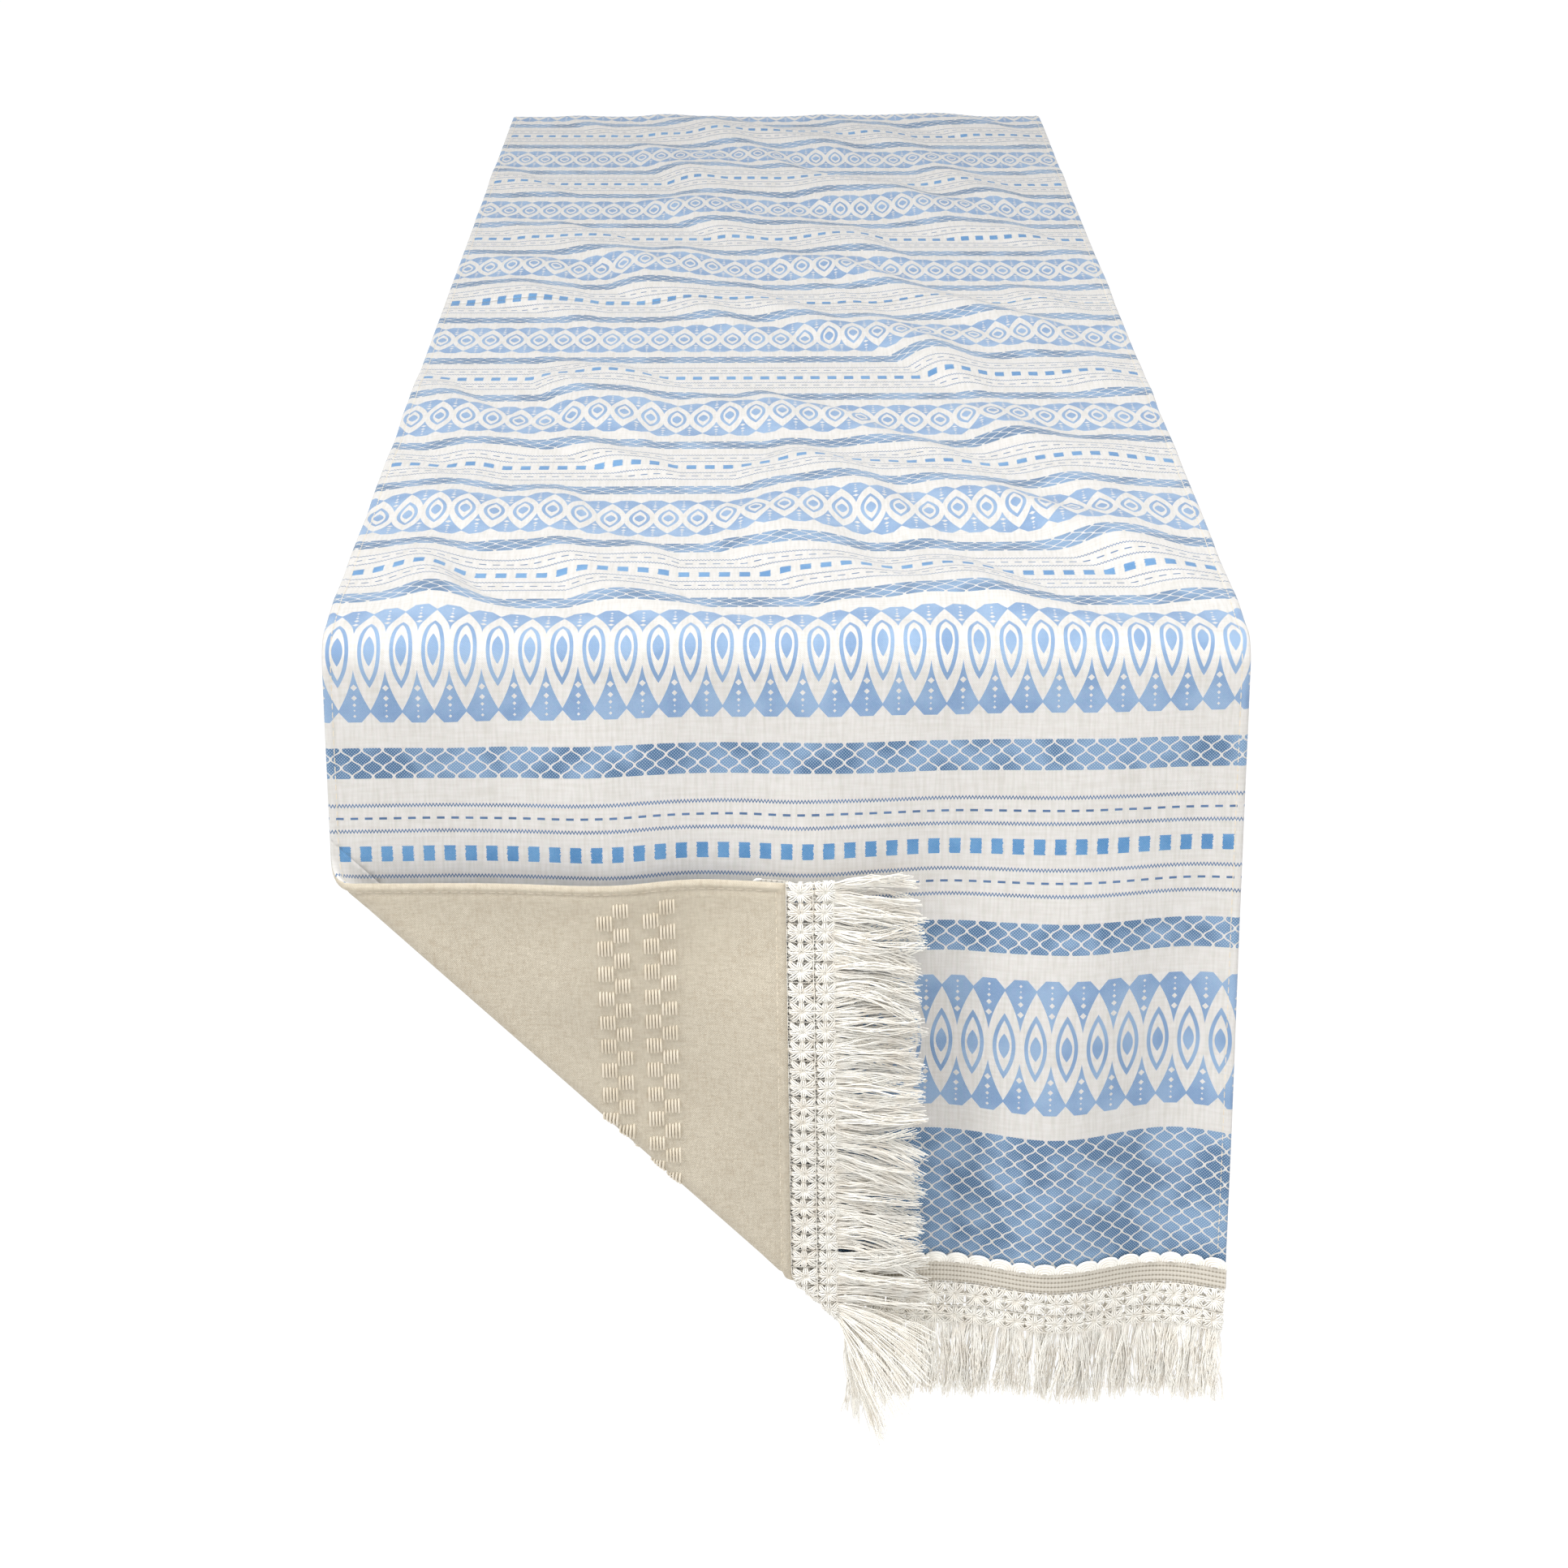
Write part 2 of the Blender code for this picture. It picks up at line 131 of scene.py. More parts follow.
ALMONDS = {"white": (22.8, 6.68), "outer": (13.7, 4.45),    # half length and half width
           "inner": (10.7, 2.95), "eye": (5.2, 2.15)}
CHALICE_RIM = (23.6, 1.15, 27.7)      # band's middle to the rim beside an almond, slope, most
CHALICE_DOTS = ((13.6, 1.30), (17.8, 1.10), (20.7, 0.75),   # middle's distance from the
                (22.9, 0.40), (25.2, 0.65))                 # band's middle, and radius
DOTS_REACH = 30.0                     # all the dots are nearer the band's middle than this
CHECKS = (1.18, 1.30)                 # checks of the ogee field, across and up
LINE_HALF = 0.40                      # half height of a zigzag line's stroke
DASH_HALF = (1.5, 0.48)               # half length and half height
SQUARE_HALF = 2.2                     # half width, before its rough edge
FACE_THREADS = 0.7                    # drawn pitch of its threads
LINING_THREADS = 0.9
WEFT_SKEW = 0.0026                    # metres; the weft runs this far up each side

# ---- Stitching and embroidery, in metres ----
SIDE_STITCH_IN = 0.0034               # from the side hem
END_STITCH_IN = 0.0038                # from the hemmed end
FACE_STITCH_RUN = (0.002, TAPE_START - 0.005)    # the side stitches' first and last stations
LINING_STITCH_RUN = (DROP_START + 0.010, CLOTH_END - 0.0055)
STITCH_LENGTH = 0.0031
STITCH_GAP = 0.0006
STITCH_RADIUS = 0.00020
STITCH_ROUTE = ((0.0, -0.0003), (0.25, 0.0001), (0.75, 0.0001), (1.0, -0.0003))  # share, rise
EMBROIDERY_ROWS = (0.0463, 0.0527, 0.0643, 0.0707)    # hemmed end to each row's middle
EMBROIDERY_MARGIN = 0.0072            # no block's middle is nearer a side hem than this
BLOCK_PITCH = 0.0108
BLOCK_WIDTH = 0.0063
BLOCK_OVER = 0.006                    # the corner keeps blocks up to this far over its seam
BLOCK_THREADS = 5
BLOCK_THREAD_PITCH = 0.00128
BLOCK_THREAD_RADIUS = 0.00046
BLOCK_THREAD_ROUTE = ((-1.0, -0.0003), (-0.75, 0.0004), (0.0, 0.0008), (0.75, 0.0004),
                      (1.0, -0.0003))       # share of half its length, and rise

# ---- Trim, in metres ----
SCALLOP_PITCH = 0.0087
BUNDLE_PITCH = 0.0081
CROCHET_MIDDLE = FACE_TOP             # height of the crochet's middle layer
PETAL_SPREAD = 0.00078                # between the yarns of a knot's loop, at its widest
TAPE_RIB = 0.00140
TAPE_GROOVES = 5                      # along the tape, between its cords
TAPE_THICKNESS = 0.0008
TAPE_MESH = (0.00036, 0.00042)        # size of the tape mesh's faces, across and up
# Each length's name, which end it is at, which side of the fold's seam, and its body
TAPE_LENGTHS = (("near", 1.0, 1, "near_drop"), ("far", -1.0, 0, "far_drop"),
                ("corner", 1.0, -1, "turned_corner"))
KNOT_REACH = 0.0041                   # a knot's middle to its side loops' ends
KNOT_ROWS = ((0.29, 0.0053), (0.79, 0.0040))    # share of the rows' depth; reach up and down
CHAIN_ROWS = (0.02, 0.29, 0.57, 0.79, 0.98)     # share of the rows' depth
BACKING_YARNS = 6                     # behind each knot
BACKING_RADIUS = 0.00032
CHAIN_RADIUS = 0.00030
FRINGE_ROOT = 0.004                   # the strands start this far up in the lower row
SHELL_LOOPS = ((0.00430, 0.0040), (0.00335, 0.0030),    # half width and height of each
               (0.00240, 0.0020), (0.00145, 0.0010))
SHELL_RADIUS = 0.00062
PETAL_ROUTE = ((0.06, -0.0001, 0.25), (0.3, 0.0014, 0.8), (0.62, 0.0020, 1.15),
               (0.88, 0.0012, 0.9), (1.0, -0.0001, 0.3))    # share, rise, share of spread
STRAND_STEPS = 7                      # straight stretches along a fringe strand


def linear(code, alpha=None):
    """Linear colour of an sRGB hex code."""
    parts = [int(code[i:i + 2], 16) / 255 for i in (1, 3, 5)]
    parts = [c / 12.92 if c <= 0.04045 else ((c + 0.055) / 1.055) ** 2.4 for c in parts]
    return (*parts, alpha) if alpha is not None else tuple(parts)


def smooth(value):
    """Ease from 0 to 1 as value goes from 0 to 1."""
    value = max(0.0, min(1.0, value))
    return value * value * (3.0 - 2.0 * value)


# ---- Settings ----

class RunnerClothSettings(bpy.types.PropertyGroup):
    """How the two cloths lie and what colour they are."""

    ripple: FloatProperty(name="Ripple", description="Height of the ripples on the table top",
                          default=0.0080, unit="LENGTH")
    flute: FloatProperty(name="Flute", description="How far the drops swing in and out",
                         default=0.0125, unit="LENGTH")
    thickness: FloatProperty(name="Thickness", description="Thickness of each cloth",
                             default=0.0006, unit="LENGTH")
    spacing: FloatProperty(name="Mesh spacing", description="Size of a cloth mesh's faces",
                           default=0.0028, unit="LENGTH")
    ground: FloatVectorProperty(name="Ground", description="Pale threads of the face's ground",
                                default=linear("#DEDBD7"), subtype="COLOR")
    lining: FloatVectorProperty(name="Lining", description="Middle tone of the lining's threads",
                                default=linear("#C5BBA8"), subtype="COLOR")


class RunnerTrimSettings(bpy.types.PropertyGroup):
    """The yarns of the stitching, the embroidery and the trim."""

    yarn: FloatProperty(name="Yarn radius", description="Radius of a crocheted yarn",
                        default=0.00034, unit="LENGTH")
    strand: FloatProperty(name="Strand radius", description="Radius of a fringe strand",
                          default=0.00026, unit="LENGTH")
    locks: IntProperty(name="Locks", description="Locks in each bundle", default=9)
    strands: IntProperty(name="Strands", description="Strands in each lock", default=8)
    seed: IntProperty(name="Seed", description="Seed of every irregular length", default=11)
    cotton: FloatVectorProperty(name="Cotton", description="Palest tone of the cotton yarn",
                                default=linear("#FDFAF2"), subtype="COLOR")


class RunnerStageSettings(bpy.types.PropertyGroup):
    """Camera, lights and floor."""

    lens: FloatProperty(name="Lens", description="Focal length in mm", default=83.95,
                        unit="CAMERA")
    distance: FloatProperty(name="Distance", description="Camera to the near drop",
                            default=1.332, unit="LENGTH")
    height: FloatProperty(name="Height", description="Camera above the table top",
                          default=0.4325, unit="LENGTH")
    pitch: FloatProperty(name="Pitch", description="Camera's downward tilt",
                         default=math.radians(20.2), unit="ROTATION")
    floor: FloatProperty(name="Floor", description="Floor's depth below the table top",
                         default=0.745, unit="LENGTH")


# ---- Draping ----

def fold_distance(x, y):
    """Signed distance of a point of the drop's plane from the fold's middle line."""
    return (Vector((x, y)) - FOLD_MIDDLE).dot(FOLD_ACROSS)


def swell(x, station):
    """How far the cloth's ripples lift it off the table, at a place on the table or drop."""
    settings = bpy.context.scene.runner_cloth
    reach = abs(station)
    across = 0.92 * x - 0.38 * station      # the buckles run away and to the left
    along = 0.38 * x + 0.92 * station
    buckle = noise.noise((across * 23.0, along * 7.5, 3.7))
    crumple = noise.noise((across * 42.0, along * 17.0, 9.1))
    broad = noise.noise((x * 6.0, station * 5.0, 1.3))
    lying = max(0.0, 0.28 + 1.3 * buckle + 0.50 * crumple + 0.4 * broad)
    lying *= 0.35 + 0.65 * smooth((FLAT_HALF - reach) / 0.04)
    lying *= 0.3 + 0.7 * smooth((HALF_WIDTH - abs(x)) / 0.045)
    height = settings.ripple * (1.0 - 0.35 * smooth(0.5 - station / 0.6)) * lying
    if reach > FLAT_HALF:
        down = smooth((reach - FLAT_HALF) / 0.22)
        bend = 1.2 * noise.noise((x * 6.0, station * 3.0, 6.6))
        hanging = 0.5 + 0.5 * math.sin(math.tau * x / 0.098 + 0.6 + bend)
        height = height * (1.0 - 0.5 * down) + settings.flute * down * hanging
        if station > 0.0:
            y = -BEND_RADIUS - (station - DROP_START)
            height *= smooth((fold_distance(x, y) - FOLD_REACH) / 0.08)
    return height


def drape(x, station, height):
    """Where a point of the flat runner lies on its table."""
    reach = abs(station)
    end = 1.0 if station < 0.0 else -1.0
    if reach <= FLAT_HALF:
        return Vector((x, -station, height + swell(x, station)))
    if reach < DROP_START:
        turn = (reach - FLAT_HALF) / BEND_ARC * math.pi / 2
        radius = BEND_RADIUS + height + swell(x, station)
        out = FLAT_HALF + radius * math.sin(turn)
        return Vector((x, end * out, radius * math.cos(turn) - BEND_RADIUS))
    y = -BEND_RADIUS - (reach - DROP_START)
    if end < 0.0:
        from_fold = Vector((x, y)) - FOLD_MIDDLE
        along = from_fold.dot(FOLD_ALONG)
        across = from_fold.dot(FOLD_ACROSS)
        if across < -FOLD_REACH:
            settled = smooth((-across - FOLD_REACH) / 0.03)
            height -= 0.0024 * settled * noise.noise((x * 24.0, y * 15.0, 5.2))
            across, height = -across, 2.0 * FOLD_HEIGHT - height
        elif across < FOLD_REACH:
            turn = math.pi / 2 * (1.0 - across / FOLD_REACH)
            radius = FOLD_HEIGHT - height
            across = FOLD_REACH - radius * math.sin(turn)
            height = FOLD_HEIGHT - radius * math.cos(turn)
        x, y = FOLD_MIDDLE + FOLD_ALONG * along + FOLD_ACROSS * across
    out = HALF_TABLE + height + swell(x, end * -station_of(y))
    return Vector((x, end * out, y))


def hem_distance(x, station):
    """Distance of a point of the flat runner from the nearest hem."""
    return min(HALF_WIDTH - abs(x), CLOTH_END - abs(station))


def rounding(edge):
    """How much of its height a cloth has near a hem, where its edge is rolled under."""
    inside = max(0.0, 1.0 - edge / 0.0016)
    return math.sqrt(max(0.0, 1.0 - inside * inside))


def welt(edge):
    """Swelling of the hem over its turned-in edge, pinched along the stitching."""
    swelling = 0.00075 * math.exp(-((edge - 0.0020) / 0.0012) ** 2)
    allowance = 0.00022 * smooth((edge - 0.0040) / 0.001) * smooth((0.0105 - edge) / 0.002)
    pinch = 0.00032 * math.exp(-((edge - END_STITCH_IN) / 0.0006) ** 2)
    return swelling + allowance - pinch


def face_height(x, station):
    """Height of the face cloth's outer side."""
    edge = hem_distance(x, station)
    return FACE_TOP * (0.5 + 0.5 * rounding(edge)) + 0.4 * welt(edge)


def lining_height(x, station):
    """Height of the lining's outer side, which is its back."""
    edge = hem_distance(x, station)
    hanging = smooth((abs(station) - DROP_START) / 0.03)
    return FACE_TOP * (0.5 - 0.5 * rounding(edge)) - welt(edge) * hanging


# ---- Building meshes ----

def link(name, mesh, material):
    """Make a piece of a finished mesh."""
    mesh.name = name
    mesh.materials.clear()
    mesh.materials.append(material)
    piece = bpy.data.objects.new(name, mesh)
    bpy.context.scene.collection.objects.link(piece)
    return piece


HEM_STEPS = (0.0, 0.00035, 0.0009, 0.0016, 0.0023, 0.0030, 0.0036, 0.0042, 0.0052,
             0.0070, 0.0095, 0.0120)


def spaced(first, last, spacing, hem_first, hem_last):
    """Places from first to last at even spacing, closer together next to a hem."""
    start = first + (HEM_STEPS[-1] if hem_first else 0.0)
    end = last - (HEM_STEPS[-1] if hem_last else 0.0)
    count = max(1, round((end - start) / spacing))
    places = [start + (end - start) * step / count for step in range(count + 1)]
    if hem_first:
        places = [first + step for step in HEM_STEPS[:-1]] + places
    if hem_last:
        places = places + [last - step for step in reversed(HEM_STEPS[:-1])]
    return places


def flat_grid(columns, rows):
    """A flat grid with a vertex at each column and row."""
    grid = bmesh.new()
    wide, long = len(columns) - 1, len(rows) - 1
    bmesh.ops.create_grid(grid, x_segments=wide, y_segments=long, size=1.0)
    for vertex in grid.verts:
        vertex.co.x = columns[round((vertex.co.x + 1.0) / 2.0 * wide)]
        vertex.co.y = rows[round((vertex.co.y + 1.0) / 2.0 * long)]
    return grid


def cut_at_fold(grid, side):
    """Keep the drop's side (+1) or the corner's side (-1) of the seam beside the fold."""
    normal = Vector((FOLD_ACROSS.x, -FOLD_ACROSS.y, 0.0))
    middle = Vector((FOLD_MIDDLE.x, station_of(FOLD_MIDDLE.y), 0.0))
    bmesh.ops.bisect_plane(grid, geom=[*grid.verts, *grid.edges, *grid.faces],
                           plane_co=middle + normal * FOLD_SEAM, plane_no=normal,
                           clear_inner=side > 0, clear_outer=side < 0, dist=1e-6)


def drape_grid(name, grid, height, outward, material):
    """Drape a flat grid, and keep where each point was in its UV maps.

    ClothUV is in metres: across, and from the hemmed end. OFBake is the same flat
    layout scaled into the unit square.
    """
    cloth_map = grid.loops.layers.uv.new("ClothUV")
    bake_map = grid.loops.layers.uv.new("OFBake")
    lowest = [min(vertex.co[axis] for vertex in grid.verts) for axis in (0, 1)]
    size = [max(vertex.co[axis] for vertex in grid.verts) - lowest[axis] for axis in (0, 1)]
    area = 0.0
    for face in grid.faces:
        area += face.calc_area()
        for loop in face.loops:
            x, station = loop.vert.co.xy
            along = CLOTH_END - abs(station)
            skew = WEFT_SKEW * x / HALF_WIDTH * smooth((along - 0.07) / 0.10)
            loop[cloth_map].uv = (x, along - skew)
            loop[bake_map].uv = ((x - lowest[0]) / size[0], (station - lowest[1]) / size[1])
    sample = max(grid.faces, key=lambda face: face.calc_center_median().length)
    x, station = sample.calc_center_median().xy
    level = height(x, station)
    up = drape(x, station, level + 0.0005) - drape(x, station, level)
    for vertex in grid.verts:
        x, station = vertex.co.xy
        vertex.co = drape(x, station, height(x, station))
    sample.normal_update()
    if sample.normal.dot(up) * outward < 0.0:
        bmesh.ops.reverse_faces(grid, faces=grid.faces)
    mesh = bpy.data.meshes.new(name)
    grid.to_mesh(mesh)
    grid.free()
    mesh.shade_smooth()
    return link(name, mesh, material), tuple(size), area


def thicken(piece, thickness):
    """Give a draped sheet its thickness, inwards from its outer side."""
    wall = piece.modifiers.new("Cloth thickness", "SOLIDIFY")
    wall.thickness = thickness
    wall.offset = -1.0
    wall.use_rim = True


def yarn_piece(name, yarns, sides, material):
    """Round yarns in one piece. Each yarn is a list of (point, radius)."""
    curve = bpy.data.curves.new(name, "CURVE")
    curve.dimensions = "3D"
    curve.bevel_depth = 1.0
    curve.bevel_resolution = (sides - 4) // 2
    curve.use_fill_caps = True
    for yarn in yarns:
        spline = curve.splines.new("POLY")
        spline.points.add(len(yarn) - 1)
        for point, (place, radius) in zip(spline.points, yarn):
            point.co = (*place, 1.0)
            point.radius = radius
    source = bpy.data.objects.new(name + "_route", curve)
    bpy.context.scene.collection.objects.link(source)
    bpy.context.view_layer.update()
    evaluated = source.evaluated_get(bpy.context.evaluated_depsgraph_get())
    mesh = bpy.data.meshes.new_from_object(evaluated)
    bpy.data.objects.remove(source)
    bpy.data.curves.remove(curve)
    mesh.shade_smooth()
    return link(name, mesh, material)


def flat_yarn(points, radius, taper=1.0):
    """A yarn through flat points (x, station, height), thinner at both its ends."""
    last = len(points) - 1
    return [(drape(*point), radius * (taper if step in (0, last) else 1.0))
            for step, point in enumerate(points)]


def in_corner(x, station):
    """Whether a place on the near end's flat runner belongs to the turned corner."""
    height = -BEND_RADIUS - (station - DROP_START)
    return fold_distance(x, height) < FOLD_SEAM


def across_bend(piece):
    """Bake a piece's placement into its mesh; the piece lies over the table's end."""
    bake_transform(piece)


def across_fold(piece):
    """Bake a piece's placement into its mesh; the piece belongs to the turned corner."""
    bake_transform(piece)


# ---- Materials ----

def add_node(tree, kind, settings=None, inputs=None, stops=None):
    """Add a node with its settings, its values and links, and its ramp's stops."""
    node = tree.nodes.new(kind)
    for name, value in (settings or {}).items():
        setattr(node, name, value)
    for name, value in (inputs or {}).items():
        if isinstance(value, bpy.types.NodeSocket):
            tree.links.new(value, node.inputs[name])
        else:
            node.inputs[name].default_value = value
    for number, (place, value) in enumerate(stops or []):
        ramp = node.color_ramp.elements
        stop = ramp[number] if number < 2 else ramp.new(place)
        stop.position = place
        stop.color = (value, value, value, 1.0) if isinstance(value, float) else value
    return node


def add_steps(tree, values, steps):
    """Chain of sums: each step is its name, its operation and what it works on."""
    for name, operation, *terms in steps:
        inputs = {number: values[term] if isinstance(term, str) else term
                  for number, term in enumerate(terms)}
        node = add_node(tree, "ShaderNodeMath", {"operation": operation, "label": name}, inputs)
        values[name] = node.outputs[0]
    return values


def new_material(name):
    """An empty material and its shader."""
    material = bpy.data.materials.new(name)
    material.use_nodes = True
    tree = material.node_tree
    return material, tree, tree.nodes["Principled BSDF"]


def set_finish(shader, roughness, specular, sheen=0.0, sheen_roughness=0.5):
    """How matt a finish is, and how much its loose fibres catch the light."""
    shader.inputs["Roughness"].default_value = roughness
    shader.inputs["Specular IOR Level"].default_value = specular
    shader.inputs["Sheen Weight"].default_value = sheen
    shader.inputs["Sheen Roughness"].default_value = sheen_roughness


def noise_at(tree, place, scale, detail, stretch=None, roughness=0.5):
    """Noise at a place, drawn out along one way where it is given a stretch."""
    if stretch:
        mapping = add_node(tree, "ShaderNodeMapping", None, {"Vector": place, "Scale": stretch})
        place = mapping.outputs[0]
    node = add_node(tree, "ShaderNodeTexNoise", None, {
        "Vector": place, "Scale": scale, "Detail": detail, "Roughness": roughness})
    return node.outputs["Fac"]


def ramp_of(tree, value, stops):
    """A colour for each value, between the stops."""
    return add_node(tree, "ShaderNodeValToRGB", None, {"Fac": value}, stops).outputs["Color"]


def mix_of(tree, factor, first, second, blend="MIX"):
    """Two colours mixed by a factor."""
    node = add_node(tree, "ShaderNodeMix", {"data_type": "RGBA", "blend_type": blend},
                    {"Factor": factor, "A": first, "B": second})
    return node.outputs["Result"]


def add_surface(tree, shader, colour, height=None, strength=0.0, distance=0.0):
    """Give a shader its colour, and its relief where there is one."""
    tree.links.new(colour, shader.inputs["Base Color"])
    if height:
        bump = add_node(tree, "ShaderNodeBump", None,
                        {"Strength": strength, "Distance": distance, "Height": height})
        tree.links.new(bump.outputs["Normal"], shader.inputs["Normal"])


def cloth_places(tree):
    """Millimetres across (x) and up from the hemmed end (w) of the flat cloth."""
    flat = add_node(tree, "ShaderNodeUVMap", {"uv_map": "ClothUV"})
    parts = add_node(tree, "ShaderNodeSeparateXYZ", None, {0: flat.outputs["UV"]})
    values = {"u": parts.outputs["X"], "v": parts.outputs["Y"]}
    add_steps(tree, values, [("x", "MULTIPLY", "u", 1000.0), ("w", "MULTIPLY", "v", 1000.0)])
    return flat.outputs["UV"], values


def weave_steps(pitch):
    """Steps for threads that go over and under each other, at a pitch in mm."""
    return [("weave_x", "MULTIPLY", "x", math.tau / pitch), ("weave_a", "SINE", "weave_x"),
            ("weave_w", "MULTIPLY", "w", math.tau / pitch), ("weave_b", "SINE", "weave_w"),
            ("weave", "MULTIPLY", "weave_a", "weave_b")]


def almond_steps(name, half_length, half_width):
    """Steps that say whether a place is inside an almond."""
    return [(name + "_t", "DIVIDE", "t", half_length), (name + "_t2", "POWER", name + "_t", 2.0),
            (name + "_shape", "MULTIPLY_ADD", "column", 1 / half_width, name + "_t2"),
            (name, "LESS_THAN", name + "_shape", 1.0)]


ALMOND_STEPS = [
    # t is the distance from the middle of the nearest almond band
    ("from_band", "SUBTRACT", "w", ALMOND_CENTRE),
    ("t", "PINGPONG", "from_band", REPEAT / 2),
    ("column", "PINGPONG", "x", ALMOND_PITCH / 2),
    *[step for name, size in ALMONDS.items() for step in almond_steps(name, *size)],
    ("ring", "SUBTRACT", "outer", "inner"),
    # The chalices stand between the almonds, inside a chamfered rim
    ("chamfer", "MULTIPLY_ADD", "column", CHALICE_RIM[1], CHALICE_RIM[0]),
    ("rim", "MINIMUM", "chamfer", CHALICE_RIM[2]),
    ("within", "LESS_THAN", "t", "rim"),
    ("chalice", "GREATER_THAN", "within", "white"),
    ("from_chalice", "SUBTRACT", ALMOND_PITCH / 2, "column"),
]

OGEE_STEPS = [
    # Wavy lines that touch in every other row, over a blue field of small checks
    ("end_side", "SUBTRACT", ALMOND_CENTRE, "w"),
    ("ogee_t", "MAXIMUM", "end_side", "t"),
    ("ogee_from", "SUBTRACT", "ogee_t", OGEE_CELL),
    ("ogee_angle", "MULTIPLY", "ogee_from", math.pi / OGEE_ROW),
    ("ogee_cosine", "COSINE", "ogee_angle"),
    ("ogee_cosine2", "MULTIPLY", "ogee_cosine", "ogee_cosine"),
    ("ogee_rounding", "MULTIPLY_ADD", "ogee_cosine2", -0.12, 1.12),
    ("ogee_swing", "MULTIPLY", "ogee_cosine", "ogee_rounding"),
    ("ogee_curve", "MULTIPLY_ADD", "ogee_swing", -0.227 * OGEE_PITCH, OGEE_PITCH / 4),
    ("ogee_width", "MULTIPLY_ADD", "ogee_cosine2", -0.20, 0.52),
    ("ogee_x", "ADD", "x", OGEE_PITCH / 4),
    ("ogee_column", "PINGPONG", "ogee_x", OGEE_PITCH / 2),
    ("ogee_off", "SUBTRACT", "ogee_column", "ogee_curve"),
    ("ogee_gap", "ABSOLUTE", "ogee_off"),
    ("ogee_line", "LESS_THAN", "ogee_gap", "ogee_width"),
    ("in_band", "COMPARE", "t", *OGEE_BAND),
    ("in_field", "LESS_THAN", "w", FIELD_TOP),
    ("ogee_area", "MAXIMUM", "in_band", "in_field"),
    ("ogee_blue", "GREATER_THAN", "ogee_area", "ogee_line"),
    ("check_x", "MULTIPLY", "x", math.tau / CHECKS[0]), ("check_x_wave", "SINE", "check_x"),
    ("check_w", "MULTIPLY", "w", math.tau / CHECKS[1]), ("check_w_wave", "SINE", "check_w"),
    ("check", "MULTIPLY", "check_x_wave", "check_w_wave"),
]

LINE_STEPS = [
    ("from_lines", "SUBTRACT", "t", LINES_MIDDLE), ("line_off", "ABSOLUTE", "from_lines"),
    ("zig", "PINGPONG", "x", ZIGZAG_PITCH / 2),
    ("zig_wave", "MULTIPLY_ADD", "zig", 2.0, ZIGZAG_OUT - ZIGZAG_PITCH / 2),
    ("zig_off", "SUBTRACT", "line_off", "zig_wave"), ("zig_gap", "ABSOLUTE", "zig_off"),
    ("zigzag", "LESS_THAN", "zig_gap", LINE_HALF),
    ("dash_x", "PINGPONG", "x", DASH_PITCH / 2),
    ("dash_on", "LESS_THAN", "dash_x", DASH_HALF[0]),
    ("dash_row", "LESS_THAN", "line_off", DASH_HALF[1]),
    ("dash", "MULTIPLY", "dash_on", "dash_row"),
    ("any_line", "MAXIMUM", "zigzag", "dash"),
    ("lines", "GREATER_THAN", "any_line", "in_field"),
    ("square_x", "PINGPONG", "x", SQUARE_PITCH / 2),
    ("square_edge", "ADD", "square_x", "rough"),
    ("square_on", "LESS_THAN", "square_edge", SQUARE_HALF),
    ("square_row", "GREATER_THAN", "t", SQUARES_FROM),
    ("square_band", "GREATER_THAN", "square_row", "in_field"),
    ("square", "MULTIPLY", "square_on", "square_band"),
]


